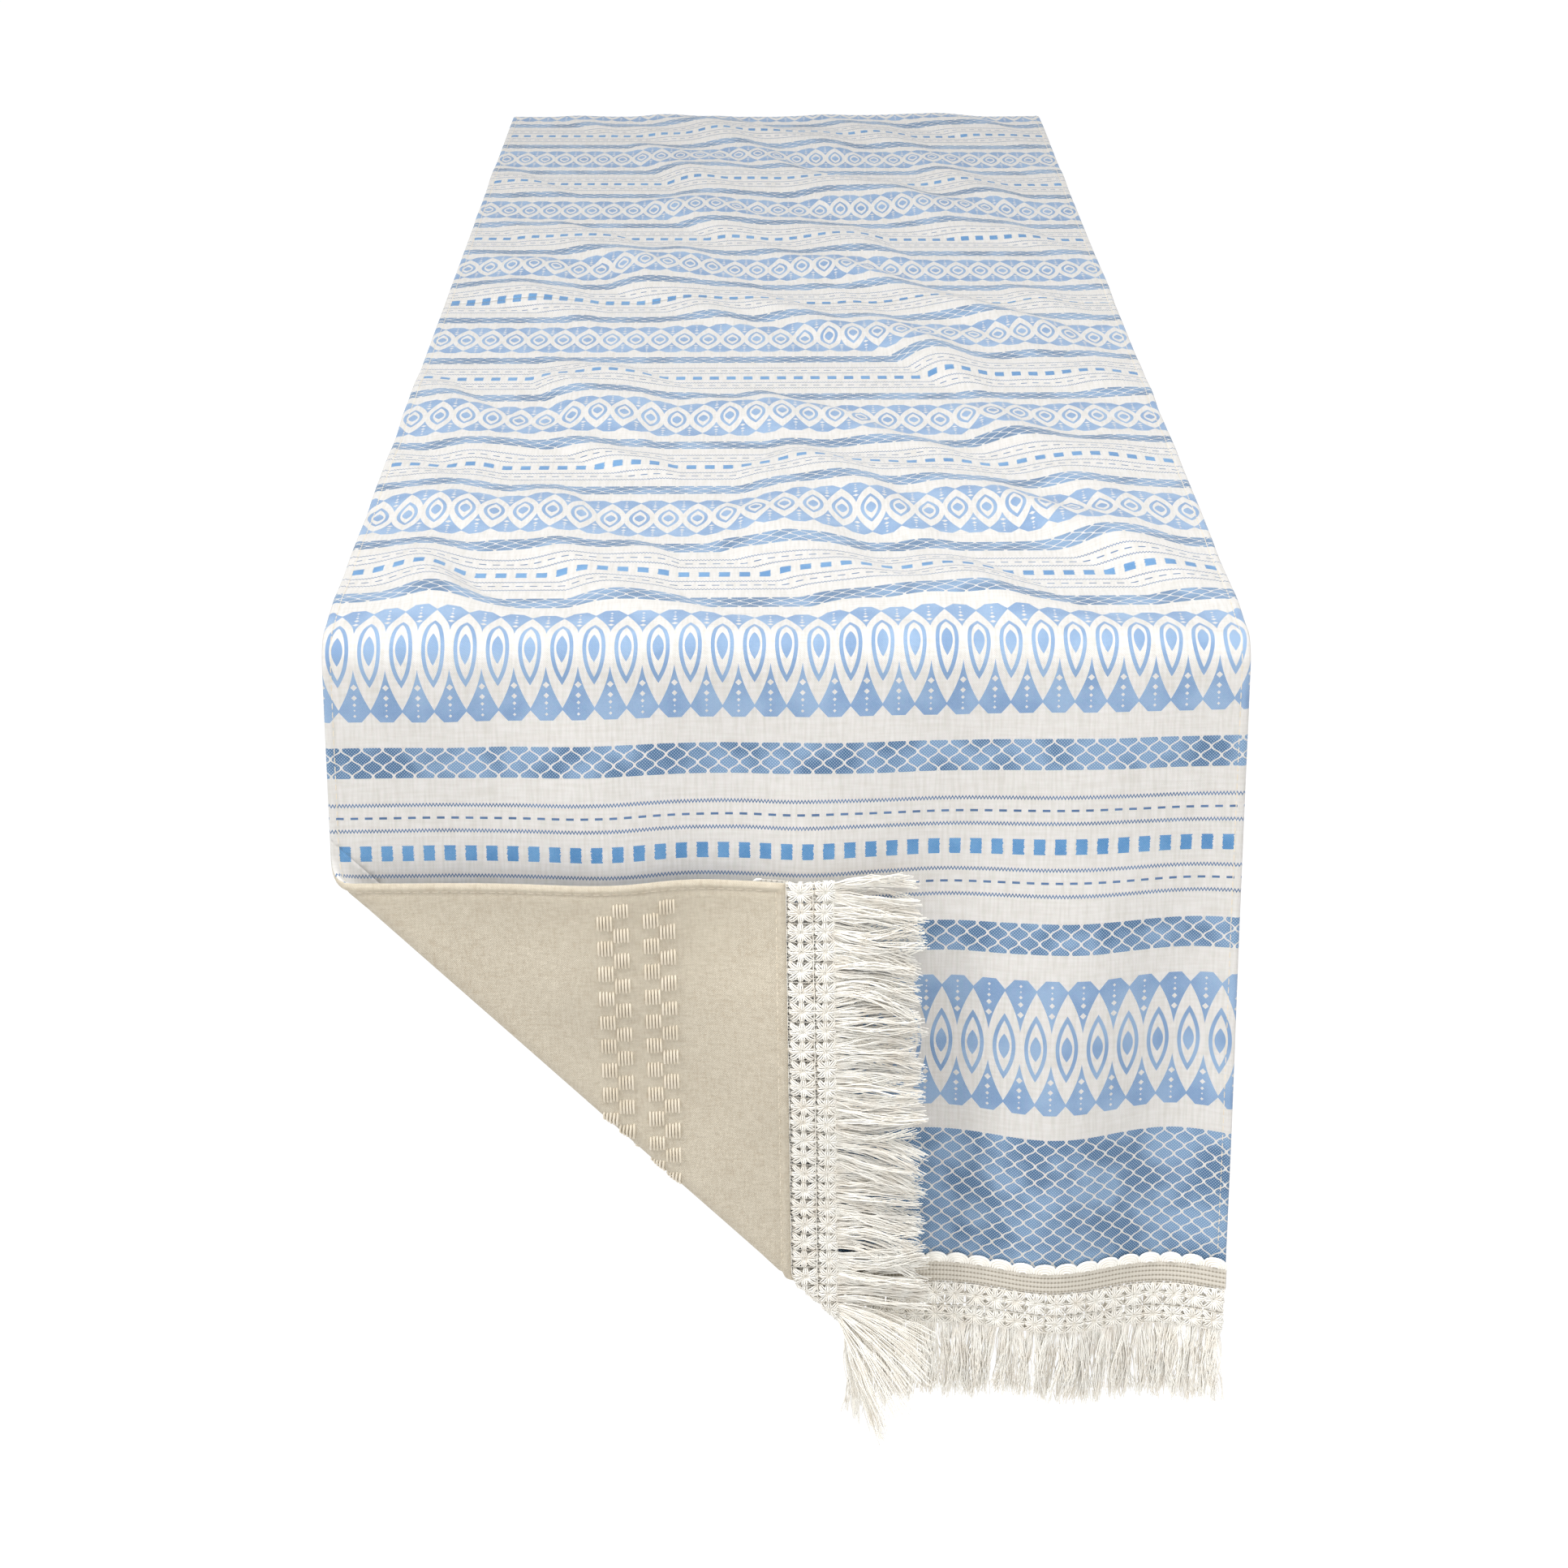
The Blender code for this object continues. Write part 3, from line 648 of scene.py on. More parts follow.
def face_material():
    """Jacquard woven cotton and linen: a slubby off-white ground with blue figures.

    Its threads are about 0.4 mm apart. They are drawn 0.7 mm apart, so that they show.
    """
    settings = bpy.context.scene.runner_cloth
    material, tree, shader = new_material("jacquard_cotton_linen")
    flat, values = cloth_places(tree)
    values["slub"] = noise_at(tree, flat, 900.0, 3.0, (1.0, 0.08, 1.0))
    values["weft"] = noise_at(tree, flat, 800.0, 3.0, (0.10, 1.0, 1.0))
    values["cloud"] = noise_at(tree, flat, 55.0, 2.0)
    values["thread"] = noise_at(tree, flat, 1500.0, 2.0)
    add_steps(tree, values, [("rough", "MULTIPLY_ADD", "thread", 1.4, -0.7)])
    add_steps(tree, values, ALMOND_STEPS)
    dots = [(0.0, 0.0), (1.0, 0.0)]
    for middle, radius in CHALICE_DOTS:
        dots += [(place / DOTS_REACH, width) for place, width in (
            (middle - radius, 0.0), (middle, radius), (middle + radius, 0.0))]
    add_steps(tree, values, [("dot_place", "DIVIDE", "t", DOTS_REACH)])
    values["dot_width"] = ramp_of(tree, values["dot_place"], dots)
    add_steps(tree, values, [
        ("dot", "LESS_THAN", "from_chalice", "dot_width"),
        ("chalice_blue", "GREATER_THAN", "chalice", "dot"),
        ("figure", "MAXIMUM", "chalice_blue", "ring"),
        ("figure_blue", "MAXIMUM", "figure", "eye"),
        *OGEE_STEPS, *LINE_STEPS, *weave_steps(FACE_THREADS),
        ("twill_w", "MULTIPLY_ADD", "weave_w", 1.0, "weave_x"), ("twill", "SINE", "twill_w"),
    ])
    ground = ramp_of(tree, values["slub"],
                     [(0.34, linear("#D5D2CC", 1.0)), (0.60, (*settings.ground, 1.0))])
    weft_tone = ramp_of(tree, values["weft"],
                        [(0.36, linear("#ECE9E4", 1.0)), (0.62, linear("#FFFFFF", 1.0))])
    colour = mix_of(tree, 0.35, ground, weft_tone, "MULTIPLY")
    # Each figure's blue warp floats over the white: mottled, with pale twill flecks
    tones = {}
    for name, dark, pale in (("figure", "#7493B9", "#8AA6C6"), ("ogee", "#476C90", "#7797B8"),
                             ("square", "#3F7FB4", "#5A93C3"), ("line", "#4F6C90", "#5F7DA3")):
        tones[name] = ramp_of(tree, values["cloud"],
                              [(0.38, linear(dark, 1.0)), (0.62, linear(pale, 1.0))])
    add_steps(tree, values, [
        ("flecks", "MULTIPLY_ADD", "thread", 1.6, "twill"),
        ("fleck", "GREATER_THAN", "flecks", 1.35),
        ("figure_fleck", "MULTIPLY", "fleck", 0.30),
        ("check_fleck", "GREATER_THAN", "check", 0.30),
        ("ogee_fleck", "MULTIPLY", "check_fleck", 0.42),
    ])
    for name, amount in (("figure", "figure_fleck"), ("ogee", "ogee_fleck"),
                         ("square", "figure_fleck")):
        tones[name] = mix_of(tree, values[amount], tones[name], linear("#D3E0EC", 1.0))
    for mask, tone in (("figure_blue", "figure"), ("ogee_blue", "ogee"),
                       ("lines", "line"), ("square", "square")):
        colour = mix_of(tree, values[mask], colour, tones[tone])
    add_steps(tree, values, [
        ("raised_a", "MAXIMUM", "figure_blue", "ogee_blue"),
        ("raised", "MAXIMUM", "raised_a", "square"),
        ("relief_a", "MULTIPLY_ADD", "slub", 0.9, "weft"),
        ("relief_b", "MULTIPLY_ADD", "weave", 0.35, "relief_a"),
        ("relief", "MULTIPLY_ADD", "raised", 0.5, "relief_b"),
    ])
    add_surface(tree, shader, colour, values["relief"], 0.55, 0.00035)
    set_finish(shader, 0.88, 0.25, sheen=0.25, sheen_roughness=0.45)
    return material


def lining_material():
    """Plain woven slub linen, undyed beige: uneven threads both ways, about 0.5 mm apart.

    They are drawn 0.9 mm apart, so that they show.
    """
    settings = bpy.context.scene.runner_cloth
    material, tree, shader = new_material("slub_linen")
    flat, values = cloth_places(tree)
    values["warp"] = noise_at(tree, flat, 900.0, 4.0, (1.0, 0.25, 1.0))
    values["weft"] = noise_at(tree, flat, 900.0, 4.0, (0.25, 1.0, 1.0))
    values["speck"] = noise_at(tree, flat, 45.0, 9.0, roughness=0.8)
    add_steps(tree, values, [
        ("threads", "ADD", "warp", "weft"), ("mixed", "MULTIPLY_ADD", "speck", 0.9, "threads"),
        ("tone", "MULTIPLY", "mixed", 0.345), *weave_steps(LINING_THREADS),
        ("relief", "MULTIPLY_ADD", "weave", 0.25, "mixed"),
    ])
    colour = ramp_of(tree, values["tone"],
                     [(0.40, linear("#BCB09C", 1.0)), (0.62, linear("#CEC4B1", 1.0)),
                      (0.50, (*settings.lining, 1.0))])
    add_surface(tree, shader, colour, values["relief"], 0.6, 0.0004)
    set_finish(shader, 0.92, 0.2, sheen=0.10)
    return material


def tape_material():
    """Woven cotton tape: thick cords along it, held by fine ribs, with painted shade in the
    grooves between the cords and between the ribs.
    """
    material, tree, shader = new_material("woven_cotton_tape")
    _flat, values = cloth_places(tree)
    add_steps(tree, values, [
        ("cords", "MULTIPLY", "w", math.pi * TAPE_GROOVES / (1000 * (CLOTH_END - TAPE_START))),
        ("cord_wave", "COSINE", "cords"), ("cord", "ABSOLUTE", "cord_wave"),
        ("ribs", "MULTIPLY", "x", math.tau / (1000 * TAPE_RIB)), ("rib", "COSINE", "ribs"),
        # Painted shade: the tone is lowest in the grooves between the cords and between the ribs
        ("tone", "MULTIPLY_ADD", "rib", 0.24, "cord"),
    ])
    # The dark stop is the painted shade of the grooves, the pale stop the cords' tops
    colour = ramp_of(tree, values["tone"],
                     [(0.05, linear("#9D9484", 1.0)), (0.60, linear("#D3CCBF", 1.0))])
    add_surface(tree, shader, colour)
    set_finish(shader, 0.85, 0.25, sheen=0.15)
    return material


def yarn_material(name, dark, pale, grain):
    """Cotton yarn or thread: fine fibres that catch the light, slightly uneven in tone."""
    material, tree, shader = new_material(name)
    place = add_node(tree, "ShaderNodeTexCoord").outputs["Object"]
    colour = ramp_of(tree, noise_at(tree, place, 160.0, 4.0),
                     [(0.35, (*dark, 1.0)), (0.60, (*pale, 1.0))])
    add_surface(tree, shader, colour, noise_at(tree, place, grain, 2.0), 0.25, 0.0001)
    set_finish(shader, 0.8, 0.25, sheen=0.50)
    return material


def floor_material():
    """Translucent white acrylic floor, lit from below, so that no shadow shows on it."""
    material, _tree, shader = new_material("lit_white_acrylic")
    shader.inputs["Base Color"].default_value = linear("#606060", 1.0)
    shader.inputs["Emission Color"].default_value = linear("#FFFFFF", 1.0)
    shader.inputs["Emission Strength"].default_value = 0.97
    set_finish(shader, 1.0, 0.0)
    return material


def materials():
    """The finishes, each made once."""
    cotton = bpy.context.scene.runner_trim.cotton
    makers = {
        "jacquard_cotton_linen": face_material,
        "slub_linen": lining_material,
        "woven_cotton_tape": tape_material,
        "spun_cotton_yarn": lambda: yarn_material(
            "spun_cotton_yarn", linear("#F6F0E5"), cotton, 2600.0),
        "mercerised_cotton_thread": lambda: yarn_material(
            "mercerised_cotton_thread", linear("#D8CCB5"), linear("#E6DBC7"), 3800.0),
    }
    return {name: bpy.data.materials.get(name) or make() for name, make in makers.items()}


# ---- Pieces ----

def cloth_pieces(cloth, node, height, outward, material_name):
    """One cloth in three pieces: near, far and turned corner."""
    settings = bpy.context.scene.runner_cloth
    material = materials()[material_name]
    columns = spaced(-HALF_WIDTH, HALF_WIDTH, settings.spacing, True, True)
    near_rows = spaced(0.0, CLOTH_END, settings.spacing, False, True)
    far_rows = [-row for row in reversed(near_rows)]
    corner_columns = spaced(-HALF_WIDTH, CORNER_RIGHT, settings.spacing * 0.6, True, False)
    corner_rows = spaced(station_of(CORNER_TOP), CLOTH_END, settings.spacing * 0.6, False, True)
    for part, across, rows, side, held, solids in (
            ("near", columns, near_rows, 1, "draped", ("near_drop", "near_bend", "top")),
            ("far", columns, far_rows, 0, "draped", ("far_drop", "far_bend", "top")),
            ("corner", corner_columns, corner_rows, -1, "folded",
             ("turned_corner", "corner_fold"))):
        grid = flat_grid(across, rows)
        if side:
            cut_at_fold(grid, side)
        piece, flat, area = drape_grid(f"{part}_{cloth}", grid, height, outward, material)
        thicken(piece, settings.thickness)
        if part == "corner":
            across_fold(piece)
        else:
            across_bend(piece)
        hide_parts(*[f"{solid}_{node}" for solid in solids])


class RUNNER_OT_face_cloth(bpy.types.Operator):
    """Weave and drape the patterned face cloth"""

    bl_idname = "runner.face_cloth"
    bl_label = "Face cloth"

    def execute(self, context):
        cloth_pieces("face_cloth", "face_cloth", face_height, 1.0, "jacquard_cotton_linen")
        return {"FINISHED"}


class RUNNER_OT_lining_cloth(bpy.types.Operator):
    """Weave and drape the plain lining"""

    bl_idname = "runner.lining_cloth"
    bl_label = "Lining"

    def execute(self, context):
        cloth_pieces("lining_cloth", "lining", lining_height, -1.0, "slub_linen")
        return {"FINISHED"}


def stitch(start, end, height):
    """One stitch between two flat places, sunk into the cloth at both its ends."""
    points = []
    for share, rise in STITCH_ROUTE:
        x = start[0] + (end[0] - start[0]) * share
        station = start[1] + (end[1] - start[1]) * share
        points.append((x, station, height(x, station, rise)))
    return flat_yarn(points, STITCH_RADIUS)


def stitch_line(start, end, height):
    """Stitches end to end along a straight flat line."""
    run = math.dist(start, end)
    step = STITCH_LENGTH + STITCH_GAP
    stitches = []
    for number in range(int(run / step)):
        near = number * step / run
        far = near + STITCH_LENGTH / run
        first = [a + (b - a) * near for a, b in zip(start, end)]
        last = [a + (b - a) * far for a, b in zip(start, end)]
        stitches.append((first, stitch(first, last, height)))
    return stitches


def on_face(x, station, rise):
    """Height on the face cloth's outer side."""
    return face_height(x, station) + rise


def on_lining(x, station, rise):
    """Height on the lining's outer side."""
    return lining_height(x, station) - rise


def share_stitches(line, label, shares):
    """Add a line's stitches to their piece, and those of the turned corner to the corner."""
    for place, yarn in line:
        corner = place[1] > 0.0 and in_corner(*place)
        shares["corner" if corner else label].append(yarn)


class RUNNER_OT_stitching(bpy.types.Operator):
    """Sew the side hems and the hemmed ends"""

    bl_idname = "runner.stitching"
    bl_label = "Hem stitching"

    def execute(self, context):
        side = HALF_WIDTH - SIDE_STITCH_IN
        end = CLOTH_END - END_STITCH_IN
        thread = materials()["mercerised_cotton_thread"]
        shares = {"near": [], "far": [], "corner": [], "near_end": [], "far_end": []}
        for x in (-side, side):
            for surface, (start, stop) in ((on_face, FACE_STITCH_RUN),
                                           (on_lining, LINING_STITCH_RUN)):
                for toward, label in ((1.0, "near"), (-1.0, "far")):
                    line = stitch_line((x, toward * start), (x, toward * stop), surface)
                    share_stitches(line, label, shares)
        for toward, label in ((1.0, "near_end"), (-1.0, "far_end")):
            line = stitch_line((-side, toward * end), (side, toward * end), on_lining)
            share_stitches(line, label, shares)
        nodes = {
            "near": ("near_drop_left_topstitch", "near_drop_right_topstitch",
                     "top_left_topstitch", "top_right_topstitch"),
            "far": ("far_drop_left_topstitch", "far_drop_right_topstitch"),
            "corner": ("turned_corner_side_topstitch", "turned_corner_end_topstitch"),
            "near_end": ("near_drop_end_topstitch",),
            "far_end": ("far_drop_end_topstitch",),
        }
        for label, yarns in shares.items():
            piece = yarn_piece(f"{label}_stitching", yarns, 4, thread)
            if label in ("near", "far"):
                across_bend(piece)
            elif label == "corner":
                across_fold(piece)
            else:
                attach(piece, "near_drop" if label == "near_end" else "far_drop")
            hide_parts(*nodes[label])
        return {"FINISHED"}


def embroidery_blocks():
    """Each block's middle: how far across it lies, and its station."""
    count = int(HALF_WIDTH / BLOCK_PITCH)
    for row, distance in enumerate(EMBROIDERY_ROWS):
        shift = BLOCK_PITCH / 2 * (row % 2)
        for block in range(-count - 1, count + 1):
            middle = (block + 0.5) * BLOCK_PITCH + shift
            if abs(middle) <= HALF_WIDTH - EMBROIDERY_MARGIN:
                yield middle, CLOTH_END - distance


class RUNNER_OT_embroidery(bpy.types.Operator):
    """Work four rows of thread blocks on the lining near each end"""

    bl_idname = "runner.embroidery"
    bl_label = "Embroidery"

    def execute(self, context):
        thread = materials()["mercerised_cotton_thread"]
        chance = random.Random(context.scene.runner_trim.seed)
        shares = {"near_drop": [], "far_drop": [], "turned_corner": []}
        for toward, drop in ((1.0, "near_drop"), (-1.0, "far_drop")):
            for middle, centre in embroidery_blocks():
                turned = toward > 0.0 and in_corner(middle - BLOCK_OVER, centre)
                body = "turned_corner" if turned else drop
                for number in range(BLOCK_THREADS):
                    offset = (number - (BLOCK_THREADS - 1) / 2) * BLOCK_THREAD_PITCH
                    station = toward * (centre + offset)
                    reach = BLOCK_WIDTH / 2 + chance.uniform(-0.0003, 0.0003)
                    points = [(middle + share * reach, station,
                               on_lining(middle, station, rise))
                              for share, rise in BLOCK_THREAD_ROUTE]
                    shares[body].append(flat_yarn(points, BLOCK_THREAD_RADIUS, 0.6))
        for body, yarns in shares.items():
            piece = yarn_piece(body + "_embroidery", yarns, 6, thread)
            if body == "turned_corner":
                across_fold(piece)
            else:
                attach(piece, body)
            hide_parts(*[f"{body}_embroidery_row_{row}" for row in (1, 2, 3, 4)])
        return {"FINISHED"}


def tape_height(x, station):
    """Outer side of the tape: cords along it with grooves between, and fine ribs across."""
    depth = (abs(station) - TAPE_START) / (CLOTH_END - TAPE_START)
    ribs = 0.00016 * math.cos(math.tau * x / TAPE_RIB)
    rows = 0.00030 * (abs(math.cos(math.pi * depth * TAPE_GROOVES)) - 0.6)
    edge = rounding(min(abs(station) - TAPE_START, CLOTH_END - abs(station)))
    return TAPE_BACK + (0.0011 + ribs + rows) * (0.35 + 0.65 * edge)


class RUNNER_OT_tape(bpy.types.Operator):
    """Sew the woven tape over each hemmed end"""

    bl_idname = "runner.tape"
    bl_label = "Woven tape"

    def execute(self, context):
        for label, toward, side, body in TAPE_LENGTHS:
            columns = spaced(-HALF_WIDTH, HALF_WIDTH, TAPE_MESH[0], False, False)
            rows = spaced(TAPE_START, CLOTH_END, TAPE_MESH[1], False, False)
            if toward < 0.0:
                rows = [-row for row in reversed(rows)]
            grid = flat_grid(columns, rows)
            if side:
                cut_at_fold(grid, side)
            piece, flat, area = drape_grid(f"{label}_tape", grid, tape_height, 1.0,
                                           materials()["woven_cotton_tape"])
            thicken(piece, TAPE_THICKNESS)
            nodes = [body + "_tape"]
            if label == "corner":
                across_fold(piece)
                nodes.append("corner_fold_tape")
            else:
                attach(piece, body)
            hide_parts(*nodes)
        return {"FINISHED"}


def sort_by_part(yarns):
    """Share out yarns of the near end between the drop and the corner."""
    shares = {"near_drop": [], "turned_corner": []}
    for place, yarn in yarns:
        shares["turned_corner" if in_corner(*place) else "near_drop"].append(yarn)
    return shares


def add_trim_pieces(label, make_yarns, nodes, sides):
    """Make a trim's yarns at both ends and share them between the bodies."""
    cotton = materials()["spun_cotton_yarn"]
    shares = sort_by_part(make_yarns(1.0))
    shares["far_drop"] = [yarn for _place, yarn in make_yarns(-1.0)]
    for body, yarns in shares.items():
        piece = yarn_piece(f"{body}_{label}", yarns, sides, cotton)
        stands_for = [f"{body}_{node}" for node in nodes]
        if body == "turned_corner":
            across_fold(piece)
            if label == "crochet":
                stands_for += [f"corner_fold_{node}" for node in nodes]
        else:
            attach(piece, body)
        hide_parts(*stands_for)


def even_pitch(pitch):
    """How many whole pitches fit across the runner, and the pitch that fills it."""
    count = round(2 * HALF_WIDTH / pitch)
    return count, 2 * HALF_WIDTH / count


def scallop_yarns(toward):
    """Shells of four nested loops along the tape's upper edge."""
    yarns = []
    count, pitch = even_pitch(SCALLOP_PITCH)
    for number in range(count):
        middle = -HALF_WIDTH + (number + 0.5) * pitch
        for loop, (half, tall) in enumerate(SHELL_LOOPS):
            points = []
            for step in range(9):
                turn = math.pi * step / 8
                lift = 0.0007 + 0.0005 * math.sin(turn) + 0.00015 * loop
                station = TAPE_START + 0.0012 - tall * math.sin(turn) ** 0.7
                points.append((middle - half * math.cos(turn), toward * station,
                               TAPE_BACK + lift))
            yarns.append(((middle, TAPE_START), flat_yarn(points, SHELL_RADIUS, 0.8)))
    return yarns


class RUNNER_OT_scalloped_edge(bpy.types.Operator):
    """Crochet the shells along each tape's upper edge"""

    bl_idname = "runner.scalloped_edge"
    bl_label = "Scalloped edge"

    def execute(self, context):
        add_trim_pieces("scallops", scallop_yarns, ("scalloped_edge",), 6)
        return {"FINISHED"}


def petal(x, station, toward, wide, deep, side_out, chance):
    """Three yarns of one loop of a crocheted knot, from its middle to (wide, deep)."""
    settings = bpy.context.scene.runner_trim
    length = math.hypot(wide, deep)
    yarns = []
    for side in (-1.0, 0.0, 1.0):
        points = []
        lift = 0.0003 * (1.0 - abs(side)) + chance.uniform(-0.0001, 0.0001)
        for share, rise, width in PETAL_ROUTE:
            spread = side * width * PETAL_SPREAD
            points.append((x + wide * share - deep / length * spread,
                           toward * (station + deep * share + wide / length * spread),
                           CROCHET_MIDDLE + side_out * (rise + lift)))
        yarns.append(((x, station), flat_yarn(points, settings.yarn, 0.8)))
    return yarns


def crochet_yarns(toward):
    """Two rows of knots, each a ring of loops, with chains of yarn along the rows."""
    settings = bpy.context.scene.runner_trim
    chance = random.Random(settings.seed + int(toward))
    yarns = []
    count, pitch = even_pitch(BUNDLE_PITCH)
    depth = CROCHET_END - CLOTH_END
    for place, tall in KNOT_ROWS:
        for number in range(count):
            middle = -HALF_WIDTH + (number + 0.5) * pitch + chance.uniform(-0.0004, 0.0004)
            station = CLOTH_END + depth * place + chance.uniform(-0.0003, 0.0003)
            for side_out in (1.0, -1.0):
                for turn in range(0, 360, 45):
                    angle = math.radians(turn + chance.uniform(-5, 5))
                    reach = 1.0 if turn % 90 == 0 else 1.22
                    wide = KNOT_REACH * reach * math.cos(angle)
                    deep = tall * reach * math.sin(angle)
                    yarns += petal(middle, station, toward, wide, deep, side_out, chance)
    for number in range(BACKING_YARNS * count):
        x = -HALF_WIDTH + (number + 0.5) * pitch / BACKING_YARNS
        points = [(x + chance.uniform(-0.0004, 0.0004), toward * (CLOTH_END + depth * share),
                   CROCHET_MIDDLE + chance.uniform(-0.0002, 0.0002))
                  for share in (-0.04, 0.3, 0.65, 1.0)]
        yarns.append(((x, CLOTH_END), flat_yarn(points, BACKING_RADIUS)))
    for place in CHAIN_ROWS:
        for number in range(count):
            start = -HALF_WIDTH + number * pitch
            station = CLOTH_END + depth * place
            for offset in (-0.0004, 0.0004):
                points = [(start + pitch * share,
                           toward * (station + offset + chance.uniform(-0.0002, 0.0002)),
                           CROCHET_MIDDLE + 2.0 * offset)
                          for share in (0.0, 0.33, 0.67, 1.0)]
                yarns.append(((start + pitch / 2, station), flat_yarn(points, CHAIN_RADIUS)))
    return yarns


class RUNNER_OT_crochet(bpy.types.Operator):
    """Crochet the two rows of knots below each tape"""

    bl_idname = "runner.crochet"
    bl_label = "Crocheted rows"

    def execute(self, context):
        add_trim_pieces("crochet", crochet_yarns, ("crochet_row_upper", "crochet_row_lower"), 4)
        return {"FINISHED"}


def strand(x, spread, station, toward, length, radius, curl, lift, sag, chance):
    """One loose strand from its knot, wavy, hanging or lying as its root points."""
    root = drape(x, toward * station, FACE_TOP)
    ahead = (drape(x, toward * (station + 0.001), FACE_TOP) - root).normalized()
    side = (drape(x + 0.001, toward * station, FACE_TOP) - root).normalized()
    out = ahead.cross(side).normalized()
    if out.y * toward > 0.0:
        out = -out
    level = 1.0 - abs(ahead.z)
    phase = chance.uniform(0.0, math.tau)
    wave = chance.uniform(0.0003, 0.0014)
    points = []
    for step in range(STRAND_STEPS + 1):
        share = step / STRAND_STEPS
        away = spread * smooth(share * 1.5) + curl * math.sin(share * 3.6)
        away += wave * math.sin(phase + share * 7.0) * smooth(share * 3.0)
        rise = lift * math.sin(share * 2.4) + 0.5 * wave * math.sin(2.0 * phase + share * 8.0)
        place = root + ahead * length * share + side * away + out * rise
        place.z -= (sag + 0.8 * (1.0 - level)) * level * length * share * share
        points.append((place, radius * (1.0 - 0.4 * share)))
    return points


def fringe_yarns(toward):
    """Bundles of locks of loose strands, knotted into the lower crocheted row."""
    settings = bpy.context.scene.runner_trim
    chance = random.Random(settings.seed + 5 * int(toward))
    yarns = []
    count, pitch = even_pitch(BUNDLE_PITCH)
    full = FRINGE_END - CROCHET_END + FRINGE_ROOT
    for number in range(count):
        middle = -HALF_WIDTH + (number + 0.5) * pitch
        lean = chance.gauss(0.0, 0.0014)
        bundle_curl = chance.gauss(0.0, 0.0011)
        trim = chance.uniform(0.94, 1.02)
        sag = chance.uniform(0.0, 0.30)
        if toward > 0.0:
            place = fold_distance(middle, -BEND_RADIUS - (CROCHET_END - DROP_START))
            trim += 0.22 * smooth(1.0 - abs(place) / 0.022)
        for lock in range(settings.locks):
            offset = 2.0 * (lock + 0.5) / settings.locks - 1.0
            spread = 0.0022 * offset + lean + chance.gauss(0.0, 0.0014)
            curl = bundle_curl + chance.gauss(0.0, 0.0012)
            lift = chance.gauss(0.0005, 0.0014)
            lock_trim = trim * chance.uniform(0.90, 1.02)
            for _strand in range(settings.strands):
                x = middle + 0.0036 * offset + chance.gauss(0.0, 0.00045)
                yarns.append(((x, CROCHET_END), strand(
                    x, spread + chance.gauss(0.0, 0.00055), CROCHET_END - FRINGE_ROOT, toward,
                    full * lock_trim * chance.uniform(0.90, 1.03),
                    settings.strand * chance.uniform(0.85, 1.15), curl,
                    lift + chance.gauss(0.0, 0.0004), sag, chance)))
    return yarns


class RUNNER_OT_fringe(bpy.types.Operator):
    """Knot the fringe into the lower crocheted row"""

    bl_idname = "runner.fringe"
    bl_label = "Fringe"

    def execute(self, context):
        add_trim_pieces("fringe_strands", fringe_yarns, ("fringe",), 4)
        return {"FINISHED"}


CAMERA_ASIDE = -0.0082                # metres from the runner's middle line
CAMERA_TURN = -0.0054                 # radians
# Name, place, what it is aimed at, size in metres and power in watts
LIGHTS = (("key", (-2.6, -1.7, 3.0), (0.0, -0.35, 0.0), 1.1, 92.0),
          ("overhead", (0.2, -1.0, 2.0), (0.0, -0.5, 0.0), 1.4, 34.0),
          ("front", (0.9, -3.4, 1.0), (0.0, -0.6, -0.15), 1.8, 25.0),
          ("back", (0.6, 3.2, 2.6), (0.0, 0.1, 0.0), 1.8, 3.0))


def add_light(name, place, target, size, power):
    """A soft square light aimed at a point."""
    data = bpy.data.lights.new(name, "AREA")
    data.size = size
    data.energy = power
    light = bpy.data.objects.new(name, data)
    bpy.context.scene.collection.objects.link(light)
    light.location = place
    light.rotation_euler = (Vector(target) - Vector(place)).to_track_quat("-Z", "Y").to_euler()


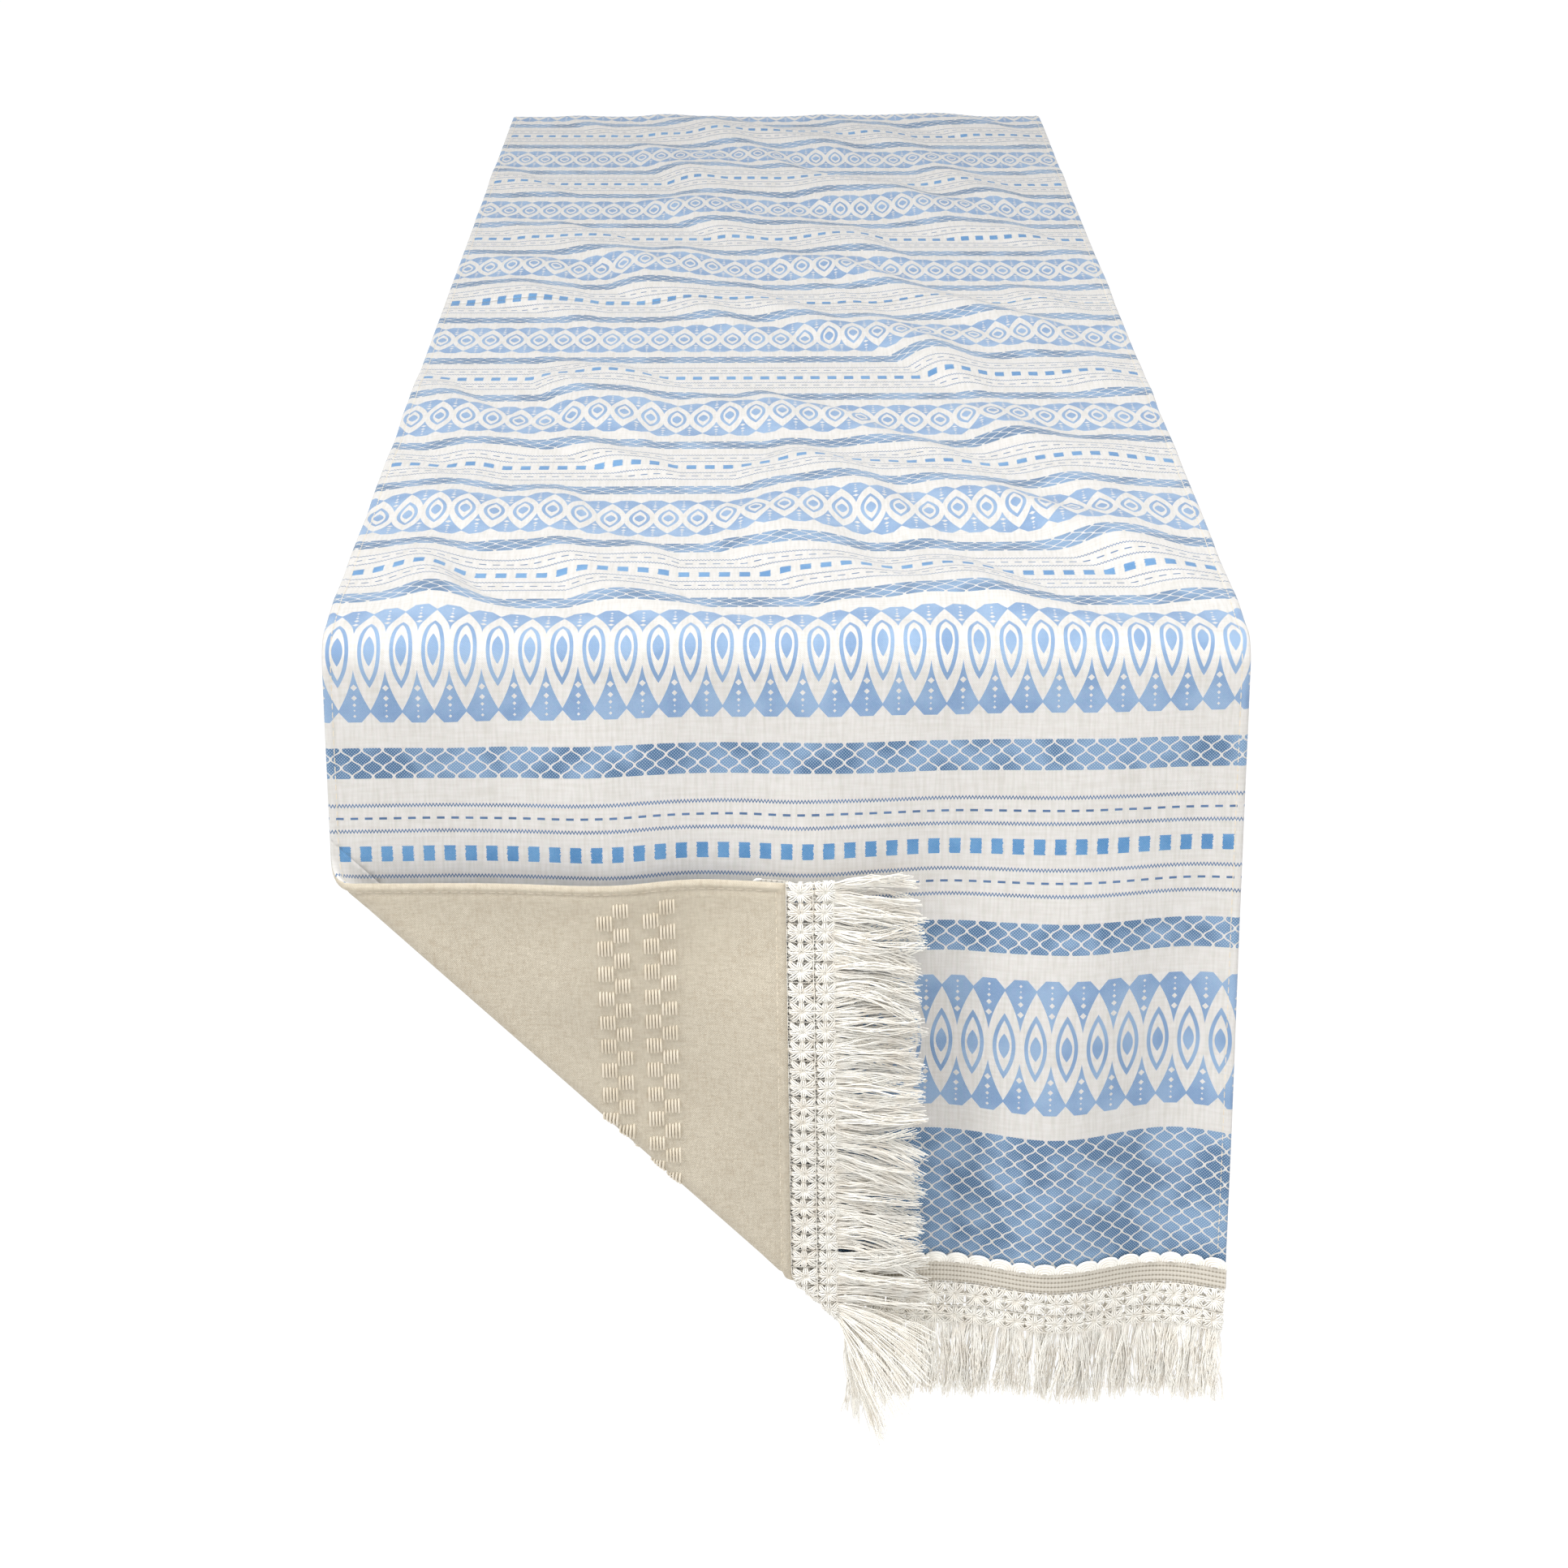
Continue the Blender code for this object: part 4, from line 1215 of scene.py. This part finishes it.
class RUNNER_OT_stage(bpy.types.Operator):
    """Set the camera, the lights and the floor"""

    bl_idname = "runner.stage"
    bl_label = "Stage"

    def execute(self, context):
        settings = context.scene.runner_stage
        plane = bmesh.new()
        bmesh.ops.create_grid(plane, x_segments=1, y_segments=1, size=30.0)
        bmesh.ops.translate(plane, vec=(0.0, 0.0, -settings.floor), verts=plane.verts)
        mesh = bpy.data.meshes.new("studio_floor")
        plane.to_mesh(mesh)
        plane.free()
        link("studio_floor", mesh, floor_material())
        world = bpy.data.worlds.new("white_studio")
        world.use_nodes = True
        sky = world.node_tree.nodes["Background"]
        sky.inputs["Color"].default_value = linear("#F7FAFF", 1.0)
        sky.inputs["Strength"].default_value = 0.40
        context.scene.world = world
        context.scene.view_settings.view_transform = "Standard"
        for light in LIGHTS:
            add_light(*light)
        data = bpy.data.cameras.new("camera")
        data.lens = settings.lens
        data.sensor_width = 36.0
        camera = bpy.data.objects.new("camera", data)
        context.scene.collection.objects.link(camera)
        camera.location = (CAMERA_ASIDE, -HALF_TABLE - settings.distance, settings.height)
        camera.rotation_euler = (math.pi / 2 - settings.pitch, 0.0, CAMERA_TURN)
        context.scene.camera = camera
        return {"FINISHED"}


class RUNNER_PT_panel(bpy.types.Panel):
    """The runner's pieces, in the order they are made"""

    bl_idname = "RUNNER_PT_panel"
    bl_label = "Table runner"
    bl_space_type = "VIEW_3D"
    bl_region_type = "UI"
    bl_category = "Runner"

    def draw(self, context):
        for group in ("runner_cloth", "runner_trim", "runner_stage"):
            settings = getattr(context.scene, group)
            for name in settings.__annotations__:
                self.layout.prop(settings, name)
        for operator in OPERATORS:
            self.layout.operator(operator.bl_idname)


OPERATORS = (RUNNER_OT_stage, RUNNER_OT_face_cloth, RUNNER_OT_lining_cloth,
             RUNNER_OT_stitching, RUNNER_OT_embroidery, RUNNER_OT_tape,
             RUNNER_OT_scalloped_edge, RUNNER_OT_crochet, RUNNER_OT_fringe)
SETTINGS = (RunnerClothSettings, RunnerTrimSettings, RunnerStageSettings)


def register():
    """Add the settings, the operators and the panel."""
    for item in (*SETTINGS, *OPERATORS, RUNNER_PT_panel):
        bpy.utils.register_class(item)
    bpy.types.Scene.runner_cloth = PointerProperty(type=RunnerClothSettings)
    bpy.types.Scene.runner_trim = PointerProperty(type=RunnerTrimSettings)
    bpy.types.Scene.runner_stage = PointerProperty(type=RunnerStageSettings)


def unregister():
    """Take them away again."""
    del bpy.types.Scene.runner_stage
    del bpy.types.Scene.runner_trim
    del bpy.types.Scene.runner_cloth
    for item in reversed((*SETTINGS, *OPERATORS, RUNNER_PT_panel)):
        bpy.utils.unregister_class(item)


def main():
    """Make every piece."""
    register()
    bpy.ops.runner.stage()
    bpy.ops.runner.lining_cloth()
    bpy.ops.runner.face_cloth()
    bpy.ops.runner.stitching()
    bpy.ops.runner.embroidery()
    bpy.ops.runner.tape()
    bpy.ops.runner.scalloped_edge()
    bpy.ops.runner.crochet()
    bpy.ops.runner.fringe()


if __name__ == "__main__":
    main()
